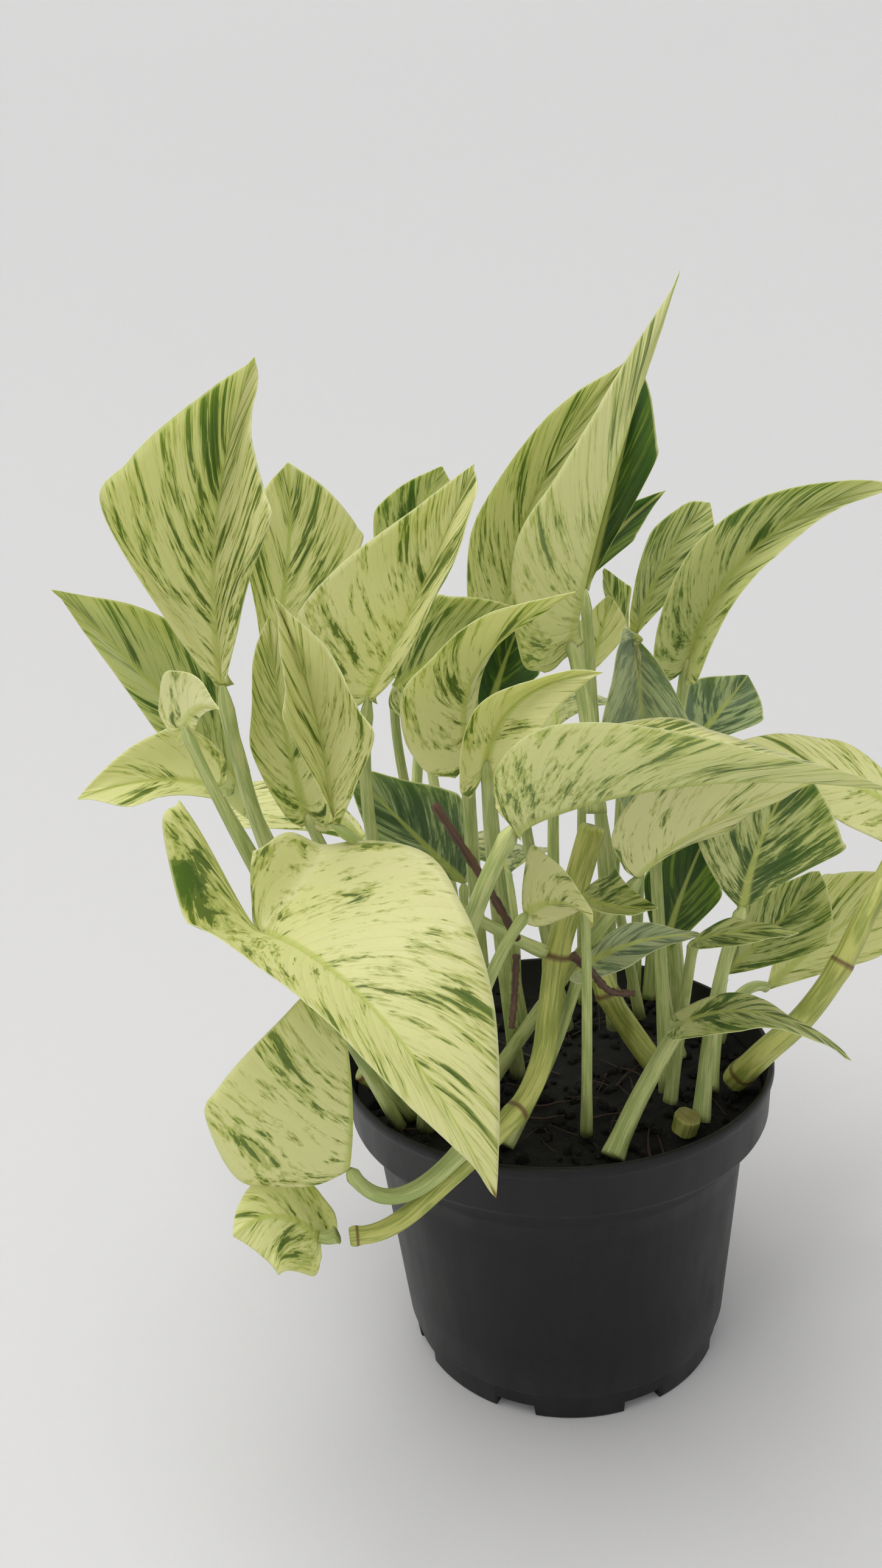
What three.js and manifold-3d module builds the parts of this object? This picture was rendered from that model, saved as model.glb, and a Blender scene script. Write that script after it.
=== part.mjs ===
// A variegated pothos in a black nursery pot. Millimetres, +Z up.
// The origin is the middle of the pot's underside, and the plant's front faces -Y.
import * as THREE from "three";
import { mergeVertices } from "three/addons/utils/BufferGeometryUtils.js";
import Module from "manifold-3d";

const wasm = await Module();
wasm.setup();

// ---- driving dimensions ----
const rimRadius = 60;
const potHeight = 86.5;
const collarHeight = 15;
const collarOverhang = 7.1; // how far the rim stands out beyond the body below the collar
const bodyTaper = 6.5; // how much narrower the body is at its foot, in radius
const footSetback = 1.5;
const footHeight = 7.5;
const wall = 1.6;
const floorHeight = 3.4;
const floorThickness = 1.8;
const headspace = 8.5;
const plantHeight = 210;
const leafThickness = 0.8;
const gap = 0.3;

const bodyRadiusTop = rimRadius - collarOverhang;
const bodyRadiusBottom = bodyRadiusTop - bodyTaper;
const footRadius = bodyRadiusBottom - footSetback;
const soilLevel = potHeight - headspace;
// The plant is laid out for a 60 mm rim and a 210 mm plant, and grows with either.
const spread = rimRadius / 60;
const lift = plantHeight / 210;

// A plant position: x and y from the pot's axis, z from the soil.
function at([x, y, z]) {
  return new THREE.Vector3(x * spread, y * spread, soilLevel + z * lift);
}

// ---- solids ----
function solidOf(geometry) {
  const bare = geometry.clone();
  bare.deleteAttribute("normal");
  bare.deleteAttribute("uv");
  const merged = mergeVertices(bare, 1e-4);
  return new wasm.Manifold(
    new wasm.Mesh({
      numProp: 3,
      vertProperties: merged.attributes.position.array,
      triVerts: new Uint32Array(merged.index.array),
    }),
  );
}

function geometryOf(solid) {
  const mesh = solid.getMesh();
  const positions = new Float32Array(mesh.numVert * 3);
  for (let i = 0; i < mesh.numVert; i++) {
    for (let c = 0; c < 3; c++) {
      positions[3 * i + c] = mesh.vertProperties[mesh.numProp * i + c];
    }
  }
  const geometry = new THREE.BufferGeometry();
  geometry.setAttribute("position", new THREE.BufferAttribute(positions, 3));
  geometry.setIndex(new THREE.BufferAttribute(new Uint32Array(mesh.triVerts), 1));
  geometry.computeVertexNormals();
  return geometry;
}

const plant = new THREE.Group();

function addPiece(name, solid, color, roughness) {
  const material = new THREE.MeshStandardMaterial({ color, roughness, metalness: 0 });
  const mesh = new THREE.Mesh(geometryOf(solid), material);
  mesh.name = name;
  plant.add(mesh);
}

// A solid turned about +Z from its half outline, which starts and ends on the axis.
function turned(outline, segments) {
  const points = outline.map(([r, z]) => new THREE.Vector2(r, z));
  const geometry = new THREE.LatheGeometry(points, segments);
  geometry.rotateX(Math.PI / 2);
  return solidOf(geometry);
}

// A closed surface from a list of points and triangles.
function closedSurface(points, faces) {
  const geometry = new THREE.BufferGeometry();
  const flat = new Float32Array(points.flatMap((p) => [p.x, p.y, p.z]));
  geometry.setAttribute("position", new THREE.BufferAttribute(flat, 3));
  geometry.setIndex(faces.flat());
  return solidOf(geometry);
}

// A round stem along a smooth path, closed at both ends. radiusAt takes 0..1 along it.
function stemAlong(path, rings, sides, radiusAt) {
  const points = [];
  const faces = [];
  let across = null;
  for (let i = 0; i <= rings; i++) {
    const t = i / rings;
    const along = path.getTangent(t);
    if (!across) {
      across = new THREE.Vector3(-along.y, along.x, 0);
      if (across.lengthSq() < 1e-3) {
        across.set(1, 0, 0);
      }
    }
    across.addScaledVector(along, -across.dot(along)).normalize();
    const other = new THREE.Vector3().crossVectors(along, across);
    const middle = path.getPoint(t);
    const radius = radiusAt(t);
    for (let k = 0; k < sides; k++) {
      const angle = (2 * Math.PI * k) / sides;
      const point = middle.clone();
      point.addScaledVector(across, radius * Math.cos(angle));
      point.addScaledVector(other, radius * Math.sin(angle));
      points.push(point);
    }
  }
  for (let i = 0; i < rings; i++) {
    for (let k = 0; k < sides; k++) {
      const a = i * sides + k;
      const b = i * sides + ((k + 1) % sides);
      faces.push([a, b, b + sides], [a, b + sides, a + sides]);
    }
  }
  const last = rings * sides;
  for (let k = 1; k < sides - 1; k++) {
    faces.push([0, k + 1, k], [last, last + k, last + k + 1]);
  }
  return closedSurface(points, faces);
}

// ---- leaf blades ----
// The lobes behind the base turn up within this share of the length.
const softTurn = 0.06;

// Half outline of a blade as shares of its half width and length, from the sinus to the tip.
// widest is where along the length it is broadest, lobe how far the back lobe reaches.
// heart 1 keeps it heart shaped, 0 makes it a wedge at the base. taper 1 runs straight to the tip.
function halfOutline(widest, lobe, heart, taper) {
  const wide = heart ?? 1 - smoothStep((widest - 0.15) / 0.35);
  const narrow = 1 - wide;
  const rest = 1 - widest;
  return [
    [0.34 * wide + 0.05 * narrow, -lobe * wide],
    [
      0.78 * wide + 0.4 * narrow,
      (widest - (widest + lobe) * 0.86) * wide + widest * 0.33 * narrow,
    ],
    [1, widest],
    [0.93 - 0.2 * taper, widest + 0.27 * rest],
    [0.72 - 0.26 * taper, widest + 0.52 * rest],
    [0.42 - 0.2 * taper, widest + 0.75 * rest],
    [0.15 - 0.09 * taper, widest + 0.92 * rest],
    [0, 1],
  ];
}

function smoothStep(x) {
  const t = Math.min(Math.max(x, 0), 1);
  return t * t * (3 - 2 * t);
}

// A point on the smooth curve through a list of 2-D points, t from 0 to 1.
function curvePoint(points, t) {
  const spans = points.length - 1;
  const place = Math.min(Math.max(t, 0), 1) * spans;
  const i = Math.min(Math.floor(place), spans - 1);
  const u = place - i;
  return [0, 1].map((c) => {
    const p1 = points[i][c];
    const p2 = points[i + 1][c];
    const p0 = i > 0 ? points[i - 1][c] : 2 * p1 - p2;
    const p3 = i + 2 <= spans ? points[i + 2][c] : 2 * p2 - p1;
    const a = 2 * p1;
    const b = (p2 - p0) * u;
    const d = (2 * p0 - 5 * p1 + 4 * p2 - p3) * u * u;
    const e = (3 * p1 - p0 - 3 * p2 + p3) * u * u * u;
    return 0.5 * (a + b + d + e);
  });
}

// The blade's own frame: its midrib is an arc through base, mid and tip, and each half is
// hung from it at the fold and half width that carry its edge through left or right.
class Blade {
  constructor({ base, mid, tip, left, right, cup, lobe, lobes, turn, rise, heart, taper }) {
    this.base = at(base);
    this.tip = at(tip);
    this.cup = THREE.MathUtils.degToRad(cup ?? 20);
    this.turn = THREE.MathUtils.degToRad(turn ?? 0);
    this.rise = rise ?? 0.6;
    this.heart = heart;
    this.taper = taper ?? 0.25;
    this.chord = this.tip.clone().sub(this.base);
    this.length = this.chord.length();
    this.arch = at(mid).sub(this.base.clone().add(this.tip).multiplyScalar(0.5));
    const span = at(right).sub(at(left));
    this.face = span.cross(this.chord).normalize();
    const reach = lobes ?? [lobe ?? 0.14, lobe ?? 0.14];
    this.halves = [this.half(-1, at(left), reach[0]), this.half(1, at(right), reach[1])];
  }

  frame(q) {
    const t = Math.min(Math.max(q, 0), 1);
    const along = this.chord.clone().addScaledVector(this.arch, 4 * (1 - 2 * t)).normalize();
    const normal = this.face.clone().addScaledVector(along, -this.face.dot(along)).normalize();
    const across = new THREE.Vector3().crossVectors(along, normal);
    const point = this.base.clone().addScaledVector(this.chord, t);
    point.addScaledVector(this.arch, 4 * t * (1 - t));
    if (q < 0) {
      const turned = (q * q) / (softTurn - q);
      const back = q + turned * (1 - Math.cos(this.turn));
      const upward = turned * Math.sin(this.turn) + this.rise * q * q;
      point.addScaledVector(along, this.length * back);
      point.addScaledVector(normal, this.length * upward);
    }
    return { point, along, normal, across };
  }

  half(side, edge, lobe) {
    const first = edge.clone().sub(this.base).dot(this.chord) / this.length ** 2;
    let q = THREE.MathUtils.clamp(first, 0.12, 0.62);
    for (let i = 0; i < 3; i++) {
      const f = this.frame(q);
      q += edge.clone().sub(f.point).dot(f.along) / this.length;
      q = THREE.MathUtils.clamp(q, 0.12, 0.62);
    }
    const f = this.frame(q);
    const out = edge.clone().sub(f.point);
    const x = out.dot(f.across) * side;
    const z = out.dot(f.normal);
    return { outline: halfOutline(q, lobe, this.heart, this.taper), width: Math.hypot(x, z), fold: Math.atan2(z, x) };
  }

  // side -1 or 1, t from the sinus to the tip, u from the midrib to the edge.
  // Lines of equal t run with the side veins.
  pointAt(side, t, u) {
    const { outline, width, fold } = this.halves[side < 0 ? 0 : 1];
    const [edgeX, edgeY] = curvePoint(outline, t);
    const rib = t ** 1.5;
    const swing = smoothStep(3 * t);
    const bendX = edgeX * (0.25 + 0.3 * swing);
    const bendY = rib + (edgeY - rib) * (0.8 - 0.45 * swing);
    const x = 2 * u * (1 - u) * bendX + u * u * edgeX;
    const y = (1 - u) ** 2 * rib + 2 * u * (1 - u) * bendY + u * u * edgeY;
    const f = this.frame(y);
    const start = fold - this.cup / 2;
    const acrossBy = (Math.sin(start + this.cup * x) - Math.sin(start)) / this.cup;
    const upBy = (Math.cos(start) - Math.cos(start + this.cup * x)) / this.cup;
    f.point.addScaledVector(f.across, side * width * acrossBy);
    f.point.addScaledVector(f.normal, width * upBy);
    return f.point;
  }

  // The blade as a thin closed body: rows from sinus to tip, cells across each half.
  solid(rows, cells) {
    const middle = [];
    for (let j = 0; j <= rows; j++) {
      const row = [];
      for (let k = -cells; k <= cells; k++) {
        row.push(this.pointAt(k < 0 ? -1 : 1, j / rows, Math.abs(k) / cells));
      }
      middle.push(row);
    }
    const columns = 2 * cells + 1;
    const normalAt = (j, k) => {
      const down = middle[Math.min(j + 1, rows)][k].clone();
      down.sub(middle[Math.max(j - 1, 0)][k]);
      const over = middle[j][Math.min(k + 1, columns - 1)].clone();
      over.sub(middle[j][Math.max(k - 1, 0)]);
      return down.cross(over).normalize();
    };
    const points = [];
    for (const side of [1, -1]) {
      for (let j = 0; j < rows; j++) {
        for (let k = 0; k < columns; k++) {
          const normal = normalAt(j, k);
          points.push(middle[j][k].clone().addScaledVector(normal, (side * leafThickness) / 2));
        }
      }
    }
    const lower = rows * columns;
    const tips = 2 * lower;
    const tipNormal = this.frame(1).normal;
    points.push(middle[rows][cells].clone().addScaledVector(tipNormal, -leafThickness / 4));
    points.push(middle[rows][cells].clone().addScaledVector(tipNormal, leafThickness / 4));
    const faces = [];
    for (let j = 0; j < rows - 1; j++) {
      for (let k = 0; k < columns - 1; k++) {
        const a = j * columns + k;
        const b = a + 1;
        const c = a + columns;
        const d = c + 1;
        faces.push([a, c, b], [b, c, d]);
        faces.push([lower + a, lower + b, lower + c], [lower + b, lower + d, lower + c]);
      }
    }
    const end = (rows - 1) * columns;
    for (let k = 0; k < columns - 1; k++) {
      faces.push([end + k, tips, end + k + 1]);
      faces.push([lower + end + k, lower + end + k + 1, tips + 1]);
      faces.push([k, k + 1, lower + k], [k + 1, lower + k + 1, lower + k]);
    }
    for (let j = 0; j < rows - 1; j++) {
      const a = j * columns;
      const b = a + columns;
      faces.push([a, lower + a, b], [b, lower + a, lower + b]);
      const c = a + columns - 1;
      const d = c + columns;
      faces.push([c, d, lower + c], [d, lower + d, lower + c]);
    }
    const a = end;
    const c = end + columns - 1;
    faces.push([a, lower + a, tips], [tips, lower + a, tips + 1]);
    faces.push([c, tips, lower + c], [tips, tips + 1, lower + c]);
    return closedSurface(points, faces);
  }
}

// ---- the pot: a tapered wall under a deeper collar, on a ring of eight feet ----
const floorTop = floorHeight + floorThickness;
const collarBottom = potHeight - collarHeight;
const potSegments = 48;
const footDraft = 0.3;
const footSlope = 0.8;
const collarDraft = 1.5;
const beadHeight = 3;
const beadDepth = 0.6;
const outside = turned(
  [
    [0, 0],
    [footRadius, 0],
    [footRadius + footDraft, footHeight],
    [bodyRadiusBottom, footHeight + footSlope],
    [bodyRadiusTop, collarBottom],
    [rimRadius - collarDraft, collarBottom + footSlope],
    [rimRadius - beadDepth, potHeight - beadHeight],
    [rimRadius, potHeight - beadHeight + beadDepth],
    [rimRadius, potHeight - beadDepth],
    [rimRadius - beadDepth, potHeight],
    [0, potHeight],
  ],
  potSegments,
);
// The inner face, or the soil's face when margin is the gap between them.
const insideOutline = (margin) => [
  [footRadius - wall - margin, floorTop + margin],
  [bodyRadiusBottom - wall - margin, footHeight + footSlope + margin],
  [bodyRadiusTop - wall - margin, collarBottom + gap],
  [rimRadius - collarDraft - wall - margin, collarBottom + wall + footSlope],
];
const inside = turned(
  [[0, floorTop], ...insideOutline(0), [rimRadius - wall, potHeight + 1], [0, potHeight + 1]],
  potSegments,
);
let pot = outside.subtract(inside);
// Under the floor, a recess leaves a foot ring and a round pad in the middle.
const footRingWidth = 4.5;
const padRadius = 12;
const recessRadius = footRadius - footRingWidth;
const recess = turned(
  [
    [0, -1],
    [recessRadius, -1],
    [recessRadius, floorHeight],
    [0, floorHeight],
  ],
  potSegments,
);
const middlePad = turned(
  [
    [0, -2],
    [padRadius, -2],
    [padRadius, floorHeight + 1],
    [0, floorHeight + 1],
  ],
  potSegments / 2,
);
pot = pot.subtract(recess.subtract(middlePad));
const footCount = 8;
const firstNotch = -69; // degrees about +Z from +X
const notchWidth = 11;
const holeRadius = 3;
const holeCircle = 24.5;
for (let i = 0; i < footCount; i++) {
  const turn = firstNotch + (360 / footCount) * i;
  const notch = new THREE.BoxGeometry(3 * footRingWidth, notchWidth, floorHeight + 1);
  notch.translate(footRadius, 0, (floorHeight - 1) / 2);
  notch.rotateZ(THREE.MathUtils.degToRad(turn));
  pot = pot.subtract(solidOf(notch));
  const hole = new THREE.CylinderGeometry(holeRadius, holeRadius, 4 * floorTop, 12);
  hole.rotateX(Math.PI / 2);
  hole.translate(holeCircle, 0, 0);
  hole.rotateZ(THREE.MathUtils.degToRad(turn + 180 / footCount));
  pot = pot.subtract(solidOf(hole));
}
addPiece("pot", pot, 0x26272b, 0.45);

// ---- the soil fills the pot to the headspace ----
const soil = turned(
  [
    [0, floorTop + gap],
    ...insideOutline(gap),
    [rimRadius - collarDraft - wall - gap, soilLevel],
    [0, soilLevel],
  ],
  potSegments,
);
addPiece("soil", soil, 0x17120e, 1);

// ---- leaves: each blade and its own stalk are one piece ----
const cream = 0xc3cb8e;
const midGreen = 0x93a468;
const greyGreen = 0x7c8f72;
const deepGreen = 0x45640f;

// Places are [x, y, z] from the pot's axis and the soil. stalk is the stalk's radius, foot and
// bend shape it, mid is halfway up the rib, and left and right are where the edges pass.
const leaves = [];
function leaf(name, color, shape) {
  leaves.push({ name, color, ...shape });
}

// hanging over the front and left of the rim
leaf("leaf_front_large", cream, {
  stalk: 2.3, foot: [-35, -12, 2], bend: [-50, -46, 49],
  base: [-68, -64, 75], mid: [-43, -88, 66], tip: [-22, -106, 35],
  left: [-34, -60, 91], right: [-70, -90, 84], lobes: [0.28, 0.5],
  turn: 85, rise: 1.4, heart: 0.65, taper: 0.3,
});
leaf("leaf_trailing_large", cream, {
  stalk: 2.1, foot: [-25, -67, 24], bend: [-45, -74, 4],
  base: [-53, -74, 22], mid: [-51, -72, 44], tip: [-54, -64, 66],
  left: [-81, -82, 42], right: [-58, -36, 18], cup: 15, lobe: 0.08, heart: 1,
});
leaf("leaf_trailing_small", cream, {
  stalk: 1.8, foot: [-57, -76, 7], bend: [-59, -76, 6],
  base: [-61, -76, 7], mid: [-69, -82, 17], tip: [-77, -88, 17],
  left: [-68, -92, 10], right: [-63, -66, 14], lobes: [0.1, 0.3], heart: 1, taper: 0,
});

// the left side
leaf("leaf_left_tall", cream, {
  stalk: 2.3, foot: [-45, -3, 2], bend: [-74, -24, 64],
  base: [-77, -28, 123], mid: [-75, -22, 160], tip: [-61, -34, 194],
  left: [-97, -40, 166], right: [-58, -46, 167], cup: 15, taper: 0.8,
});
leaf("leaf_left_behind", cream, {
  stalk: 2, foot: [-37, 14, 2], bend: [-67, 14, 66],
  base: [-72, 12, 117], mid: [-64, 14, 146], tip: [-61, 10, 172],
  left: [-75, 10, 151], right: [-44, 8, 154], taper: 0,
});
leaf("leaf_left_outer", midGreen, {
  stalk: 2, foot: [-46, 8, 2], bend: [-71, 0, 63],
  base: [-79, 0, 89], mid: [-97, -20, 125], tip: [-108, -45, 149],
  left: [-95, -8, 103], right: [-82, -12, 130], taper: 0.7,
});
leaf("leaf_left_inner", cream, {
  stalk: 1.9, foot: [-32, -1, 2], bend: [-55, -16, 68],
  base: [-62, -15, 86], mid: [-66, -12, 112], tip: [-67, -10, 136],
  left: [-73, -20, 104], right: [-52, -18, 102],
});
leaf("leaf_left_folded", cream, {
  stalk: 1.7, foot: [-5, -34, 53], bend: [-26, -46, 69],
  base: [-52, -52, 95], mid: [-54, -47, 119], tip: [-59, -58, 146],
  left: [-58, -60, 120], right: [-40, -64, 117], cup: 30, taper: 0.6,
});
leaf("leaf_left_low", cream, {
  stalk: 1.8, foot: [-41, -22, 2], bend: [-72, -32, 79],
  base: [-80, -38, 101], mid: [-92, -44, 105], tip: [-106, -55, 105],
  left: [-90, -60, 105], right: [-85, -38, 116], cup: 40, heart: 0.6, taper: 0.5,
});
leaf("leaf_left_curl", cream, {
  stalk: 1.6, foot: [-44, -26, 2], bend: [-73, -56, 92],
  base: [-81, -56, 120], mid: [-76, -63, 125], tip: [-70, -72, 126],
  left: [-84, -55, 131], right: [-78, -59, 120], cup: 30, lobe: 0.3, taper: 0.6,
});
leaf("leaf_mid_left", cream, {
  stalk: 1.9, foot: [-29, 6, 2], bend: [-52, -28, 77],
  base: [-43, -30, 118], mid: [-28, -22, 143], tip: [-15, -20, 169],
  left: [-57, -35, 139], right: [-25, -48, 143], taper: 0.35,
});

// the tall middle
leaf("leaf_mid_back", midGreen, {
  stalk: 1.8, foot: [-22, 29, 2], bend: [-32, 62, 98],
  base: [-37, 62, 140], mid: [-29, 62, 154], tip: [-21, 60, 168],
  left: [-42, 58, 155], right: [-18, 58, 153], taper: 0,
});
leaf("leaf_top_broad", cream, {
  stalk: 2.1, foot: [6, 22, 2], bend: [-7, 24, 77],
  base: [-7, 30, 115], mid: [3, 40, 156], tip: [32, 34, 194],
  left: [-16, 22, 148], right: [18, 32, 147], cup: 15, taper: 0.4,
});
leaf("leaf_top_tall", cream, {
  stalk: 2.3, foot: [10, -26, 85], bend: [11, -18, 104],
  base: [7, -12, 126], mid: [17, -14, 163], tip: [37, 0, 210],
  left: [11, 8, 149], right: [-7, -22, 149], taper: 1,
});
leaf("leaf_top_green", deepGreen, {
  stalk: 2, foot: [20, 20, 2], bend: [17, 20, 86],
  base: [15, 20, 134], mid: [24, 22, 162], tip: [31, 18, 190],
  left: [16, 16, 161], right: [33, 16, 165], cup: 15,
});
leaf("leaf_top_slim", deepGreen, {
  stalk: 1.7, foot: [29, 26, 2], bend: [14, 26, 93],
  base: [13, 30, 132], mid: [23, 28, 146], tip: [40, 34, 158],
  left: [20, 26, 152], right: [28, 26, 144], taper: 0.8,
});
leaf("leaf_mid_front", cream, {
  stalk: 2, foot: [-18, 4, 2], bend: [-22, -40, 82],
  base: [-21, -42, 110], mid: [-16, -44, 128], tip: [3, -58, 143],
  left: [-35, -54, 124], right: [-17, -34, 114], cup: 25, lobes: [0.3, 0.14], taper: 0.8,
});
leaf("leaf_mid_pale", cream, {
  stalk: 1.9, foot: [-11, -3, 2], bend: [-18, -48, 82],
  base: [-17, -52, 107], mid: [-9, -56, 121], tip: [7, -64, 127],
  left: [-20, -58, 118], right: [-8, -62, 112], cup: 25, lobe: 0.36, taper: 0.6,
});
leaf("leaf_mid_green", midGreen, {
  stalk: 1.7, foot: [-18, 25, 2], bend: [-42, 14, 82],
  base: [-38, 8, 113], mid: [-22, 12, 122], tip: [-4, 12, 131],
  left: [-27, 8, 135], right: [-24, 6, 107],
});
leaf("leaf_mid_dark", deepGreen, {
  stalk: 1.7, foot: [-7, 23, 2], bend: [-15, 18, 70],
  base: [-13, 16, 103], mid: [-8, 20, 115], tip: [-3, 20, 126],
  left: [-17, 14, 116], right: [1, 14, 112],
});
leaf("leaf_low_dark", greyGreen, {
  stalk: 1.6, foot: [-27, -10, 2], bend: [-24, -6, 42],
  base: [-23, -2, 60], mid: [-37, 0, 76], tip: [-51, -6, 95],
  left: [-45, -4, 72], right: [-22, -6, 84],
});

// the right side, front to back
leaf("leaf_right_long", cream, {
  stalk: 2.4, foot: [-37, -27, 2], bend: [-28, -66, 72],
  base: [-13, -72, 98], mid: [25, -66, 103], tip: [71, -55, 95],
  left: [23, -36, 111], right: [-8, -90, 122], lobe: 0.02, heart: 1, taper: 0.9,
});
leaf("leaf_right_edge", cream, {
  stalk: 2.2, foot: [96, 1, 62], bend: [98, 2, 66],
  base: [99, 4, 69], mid: [75, 8, 83], tip: [50, 14, 89],
  left: [83, 0, 67], right: [87, 14, 87], cup: 15,
});
leaf("leaf_right_fan", cream, {
  stalk: 2.2, foot: [-22, -13, 2], bend: [2, -20, 42],
  base: [18, -40, 73], mid: [36, -34, 83], tip: [61, -30, 90],
  left: [18, -46, 97], right: [40, -27, 78], cup: 15, lobe: 0.06,
});
leaf("leaf_right_wide", midGreen, {
  stalk: 2.1, foot: [34, -33, 2], bend: [40, -18, 33],
  base: [50, -12, 52], mid: [56, -7, 69], tip: [65, -10, 90],
  left: [38, -12, 73], right: [78, -16, 76], cup: 15, taper: 0,
});
leaf("leaf_small_folded", cream, {
  stalk: 1.7, foot: [-29, -22, 2], bend: [-24, -58, 56],
  base: [-10, -53, 71], mid: [-3, -63, 77], tip: [2, -75, 77],
  left: [-9, -59, 89], right: [-1, -54, 70], cup: 10,
});
leaf("leaf_small_green", midGreen, {
  stalk: 1.4, foot: [4, -35, 2], bend: [4, -50, 60],
  base: [4, -46, 71], mid: [10, -50, 70], tip: [20, -52, 70],
  left: [12, -41, 76], right: [9, -57, 71],
});
leaf("leaf_low_grey", greyGreen, {
  stalk: 1.9, foot: [-17, -38, 2], bend: [-2, -22, 16],
  base: [4, -34, 48], mid: [20, -28, 51], tip: [37, -22, 49],
  left: [16, -24, 54], right: [13, -38, 49], cup: 15, taper: 0.1,
});
leaf("leaf_low_green", midGreen, {
  stalk: 1.7, foot: [28, -23, 2], bend: [33, -18, 30],
  base: [32, -34, 53], mid: [43, -37, 56], tip: [56, -40, 56],
  left: [42, -29, 56], right: [37, -45, 56], cup: 15,
});
leaf("leaf_right_low", midGreen, {
  stalk: 2, foot: [40, -18, 2], bend: [46, 0, 12],
  base: [49, 5, 25], mid: [64, 5, 39], tip: [74, 0, 56],
  left: [54, 2, 49], right: [74, -4, 35], cup: 15, taper: 0,
});
leaf("leaf_right_lowest", midGreen, {
  stalk: 2.6, foot: [9, -46, 2], bend: [18, -34, 13],
  base: [29, -34, 31], mid: [49, -38, 34], tip: [69, -42, 22],
  left: [42, -28, 35], right: [37, -48, 36], cup: 15, taper: 0.4,
});
leaf("leaf_right_pale", cream, {
  stalk: 2, foot: [48, 8, 2], bend: [56, 14, 20],
  base: [66, 18, 13], mid: [84, 17, 30], tip: [107, 14, 47],
  left: [80, 22, 44], right: [94, 10, 24], cup: 15,
});
leaf("leaf_hanging_grey", greyGreen, {
  stalk: 1.8, foot: [28, -18, 2], bend: [32, 14, 86],
  base: [23, -8, 124], mid: [25, -4, 93], tip: [20, -22, 66],
  left: [13, -16, 105], right: [39, -6, 97],
});
leaf("leaf_right_dark", deepGreen, {
  stalk: 1.8, foot: [36, 1, 2], bend: [31, 2, 20],
  base: [31, 0, 34], mid: [37, 4, 50], tip: [46, 6, 70],
  left: [26, 0, 56], right: [47, 2, 48],
});
leaf("leaf_right_high", midGreen, {
  stalk: 2.1, foot: [40, 17, 2], bend: [35, 24, 74],
  base: [43, 20, 113], mid: [63, 18, 144], tip: [96, 10, 156],
  left: [40, 14, 140], right: [54, 10, 130], cup: 15, taper: 0.3,
});
leaf("leaf_back_dark", greyGreen, {
  stalk: 1.8, foot: [37, 29, 2], bend: [45, 40, 50],
  base: [49, 45, 82], mid: [60, 50, 92], tip: [68, 52, 101],
  left: [45, 44, 98], right: [70, 46, 87], cup: 15, taper: 0,
});
leaf("leaf_back_upright", midGreen, {
  stalk: 1.9, foot: [29, 39, 2], bend: [35, 44, 69],
  base: [32, 40, 118], mid: [42, 46, 138], tip: [56, 50, 153],
  left: [35, 38, 145], right: [59, 44, 140], taper: 0,
});
leaf("leaf_back_small", midGreen, {
  stalk: 1.4, foot: [21, 40, 2], bend: [29, 54, 66],
  base: [31, 48, 118], mid: [27, 50, 127], tip: [25, 52, 136],
  left: [25, 45, 125], right: [33, 52, 129],
});
leaf("leaf_back_pale", cream, {
  stalk: 1.6, foot: [13, 37, 2], bend: [14, 44, 60],
  base: [17, 38, 107], mid: [22, 42, 118], tip: [25, 44, 129],
  left: [13, 38, 119], right: [29, 38, 118],
});

// the far side
leaf("leaf_rear_high", cream, {
  stalk: 2.1, foot: [-31, 30, 2], bend: [-42, 52, 52],
  base: [-30, 62, 100], mid: [-40, 85, 120], tip: [-55, 112, 127],
  left: [-62, 82, 110], right: [-18, 90, 110],
});
leaf("leaf_rear_mid", midGreen, {
  stalk: 2.1, foot: [5, 42, 2], bend: [6, 50, 57],
  base: [10, 62, 87], mid: [12, 88, 98], tip: [16, 115, 82],
  left: [-12, 84, 87], right: [38, 84, 87],
});
leaf("leaf_rear_right", cream, {
  stalk: 2, foot: [34, 38, 2], bend: [36, 42, 37],
  base: [48, 50, 52], mid: [66, 68, 66], tip: [84, 90, 58],
  left: [50, 80, 56], right: [78, 58, 56],
});
leaf("leaf_rear_left", cream, {
  stalk: 2, foot: [-38, 26, 2], bend: [-42, 28, 40],
  base: [-52, 36, 62], mid: [-76, 52, 76], tip: [-102, 70, 68],
  left: [-88, 34, 68], right: [-66, 74, 68],
});
leaf("leaf_rear_low", midGreen, {
  stalk: 1.9, foot: [-8, 44, 2], bend: [-6, 48, 30],
  base: [-8, 60, 40], mid: [-14, 84, 46], tip: [-22, 108, 26],
  left: [-38, 82, 36], right: [10, 86, 36],
});

// ---- bare stems, cut stubs and aerial roots: radii are at the first and the last point ----
const stemColor = 0xb9bd5c;
const rootColor = 0x4d3526;
const stems = [];
function stem(name, color, radii, path) {
  stems.push({ name, color, radii, path });
}

// over the rim to the trailing leaves
stem("vine_front", stemColor, [1.9, 3.3], [
  [-54, -77, 7], [-48, -76, 7], [-42, -73, 8], [-31, -66, 13], [-21, -58, 17], [-12, -48, 21],
  [-7, -40, 27], [-4, -34, 38], [-1, -31, 52], [3, -29, 64], [9, -27, 82],
]);
stem("vine_right", stemColor, [3.4, 2.6], [
  [46, -18, 4], [53, -24, 16], [64, -20, 23], [74, -18, 36], [82, -14, 49], [92, -6, 61],
]);
stem("vine_mid", stemColor, [3.4, 3], [[27, -6, 4], [21, -2, 13], [15, -4, 25], [12, 0, 37], [12, 4, 54]]);
stem("stub_stem", stemColor, [3.6, 3.2], [[-43, -12, 4], [-48, -12, 7], [-54, -12, 12]]);
stem("stub_cut", stemColor, [3.2, 2.9], [[29, -35, 1], [30, -36, 6]]);
stem("root_long", rootColor, [1, 1], [[-29, -60, 100], [-20, -56, 82], [-12, -46, 62]]);
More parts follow.
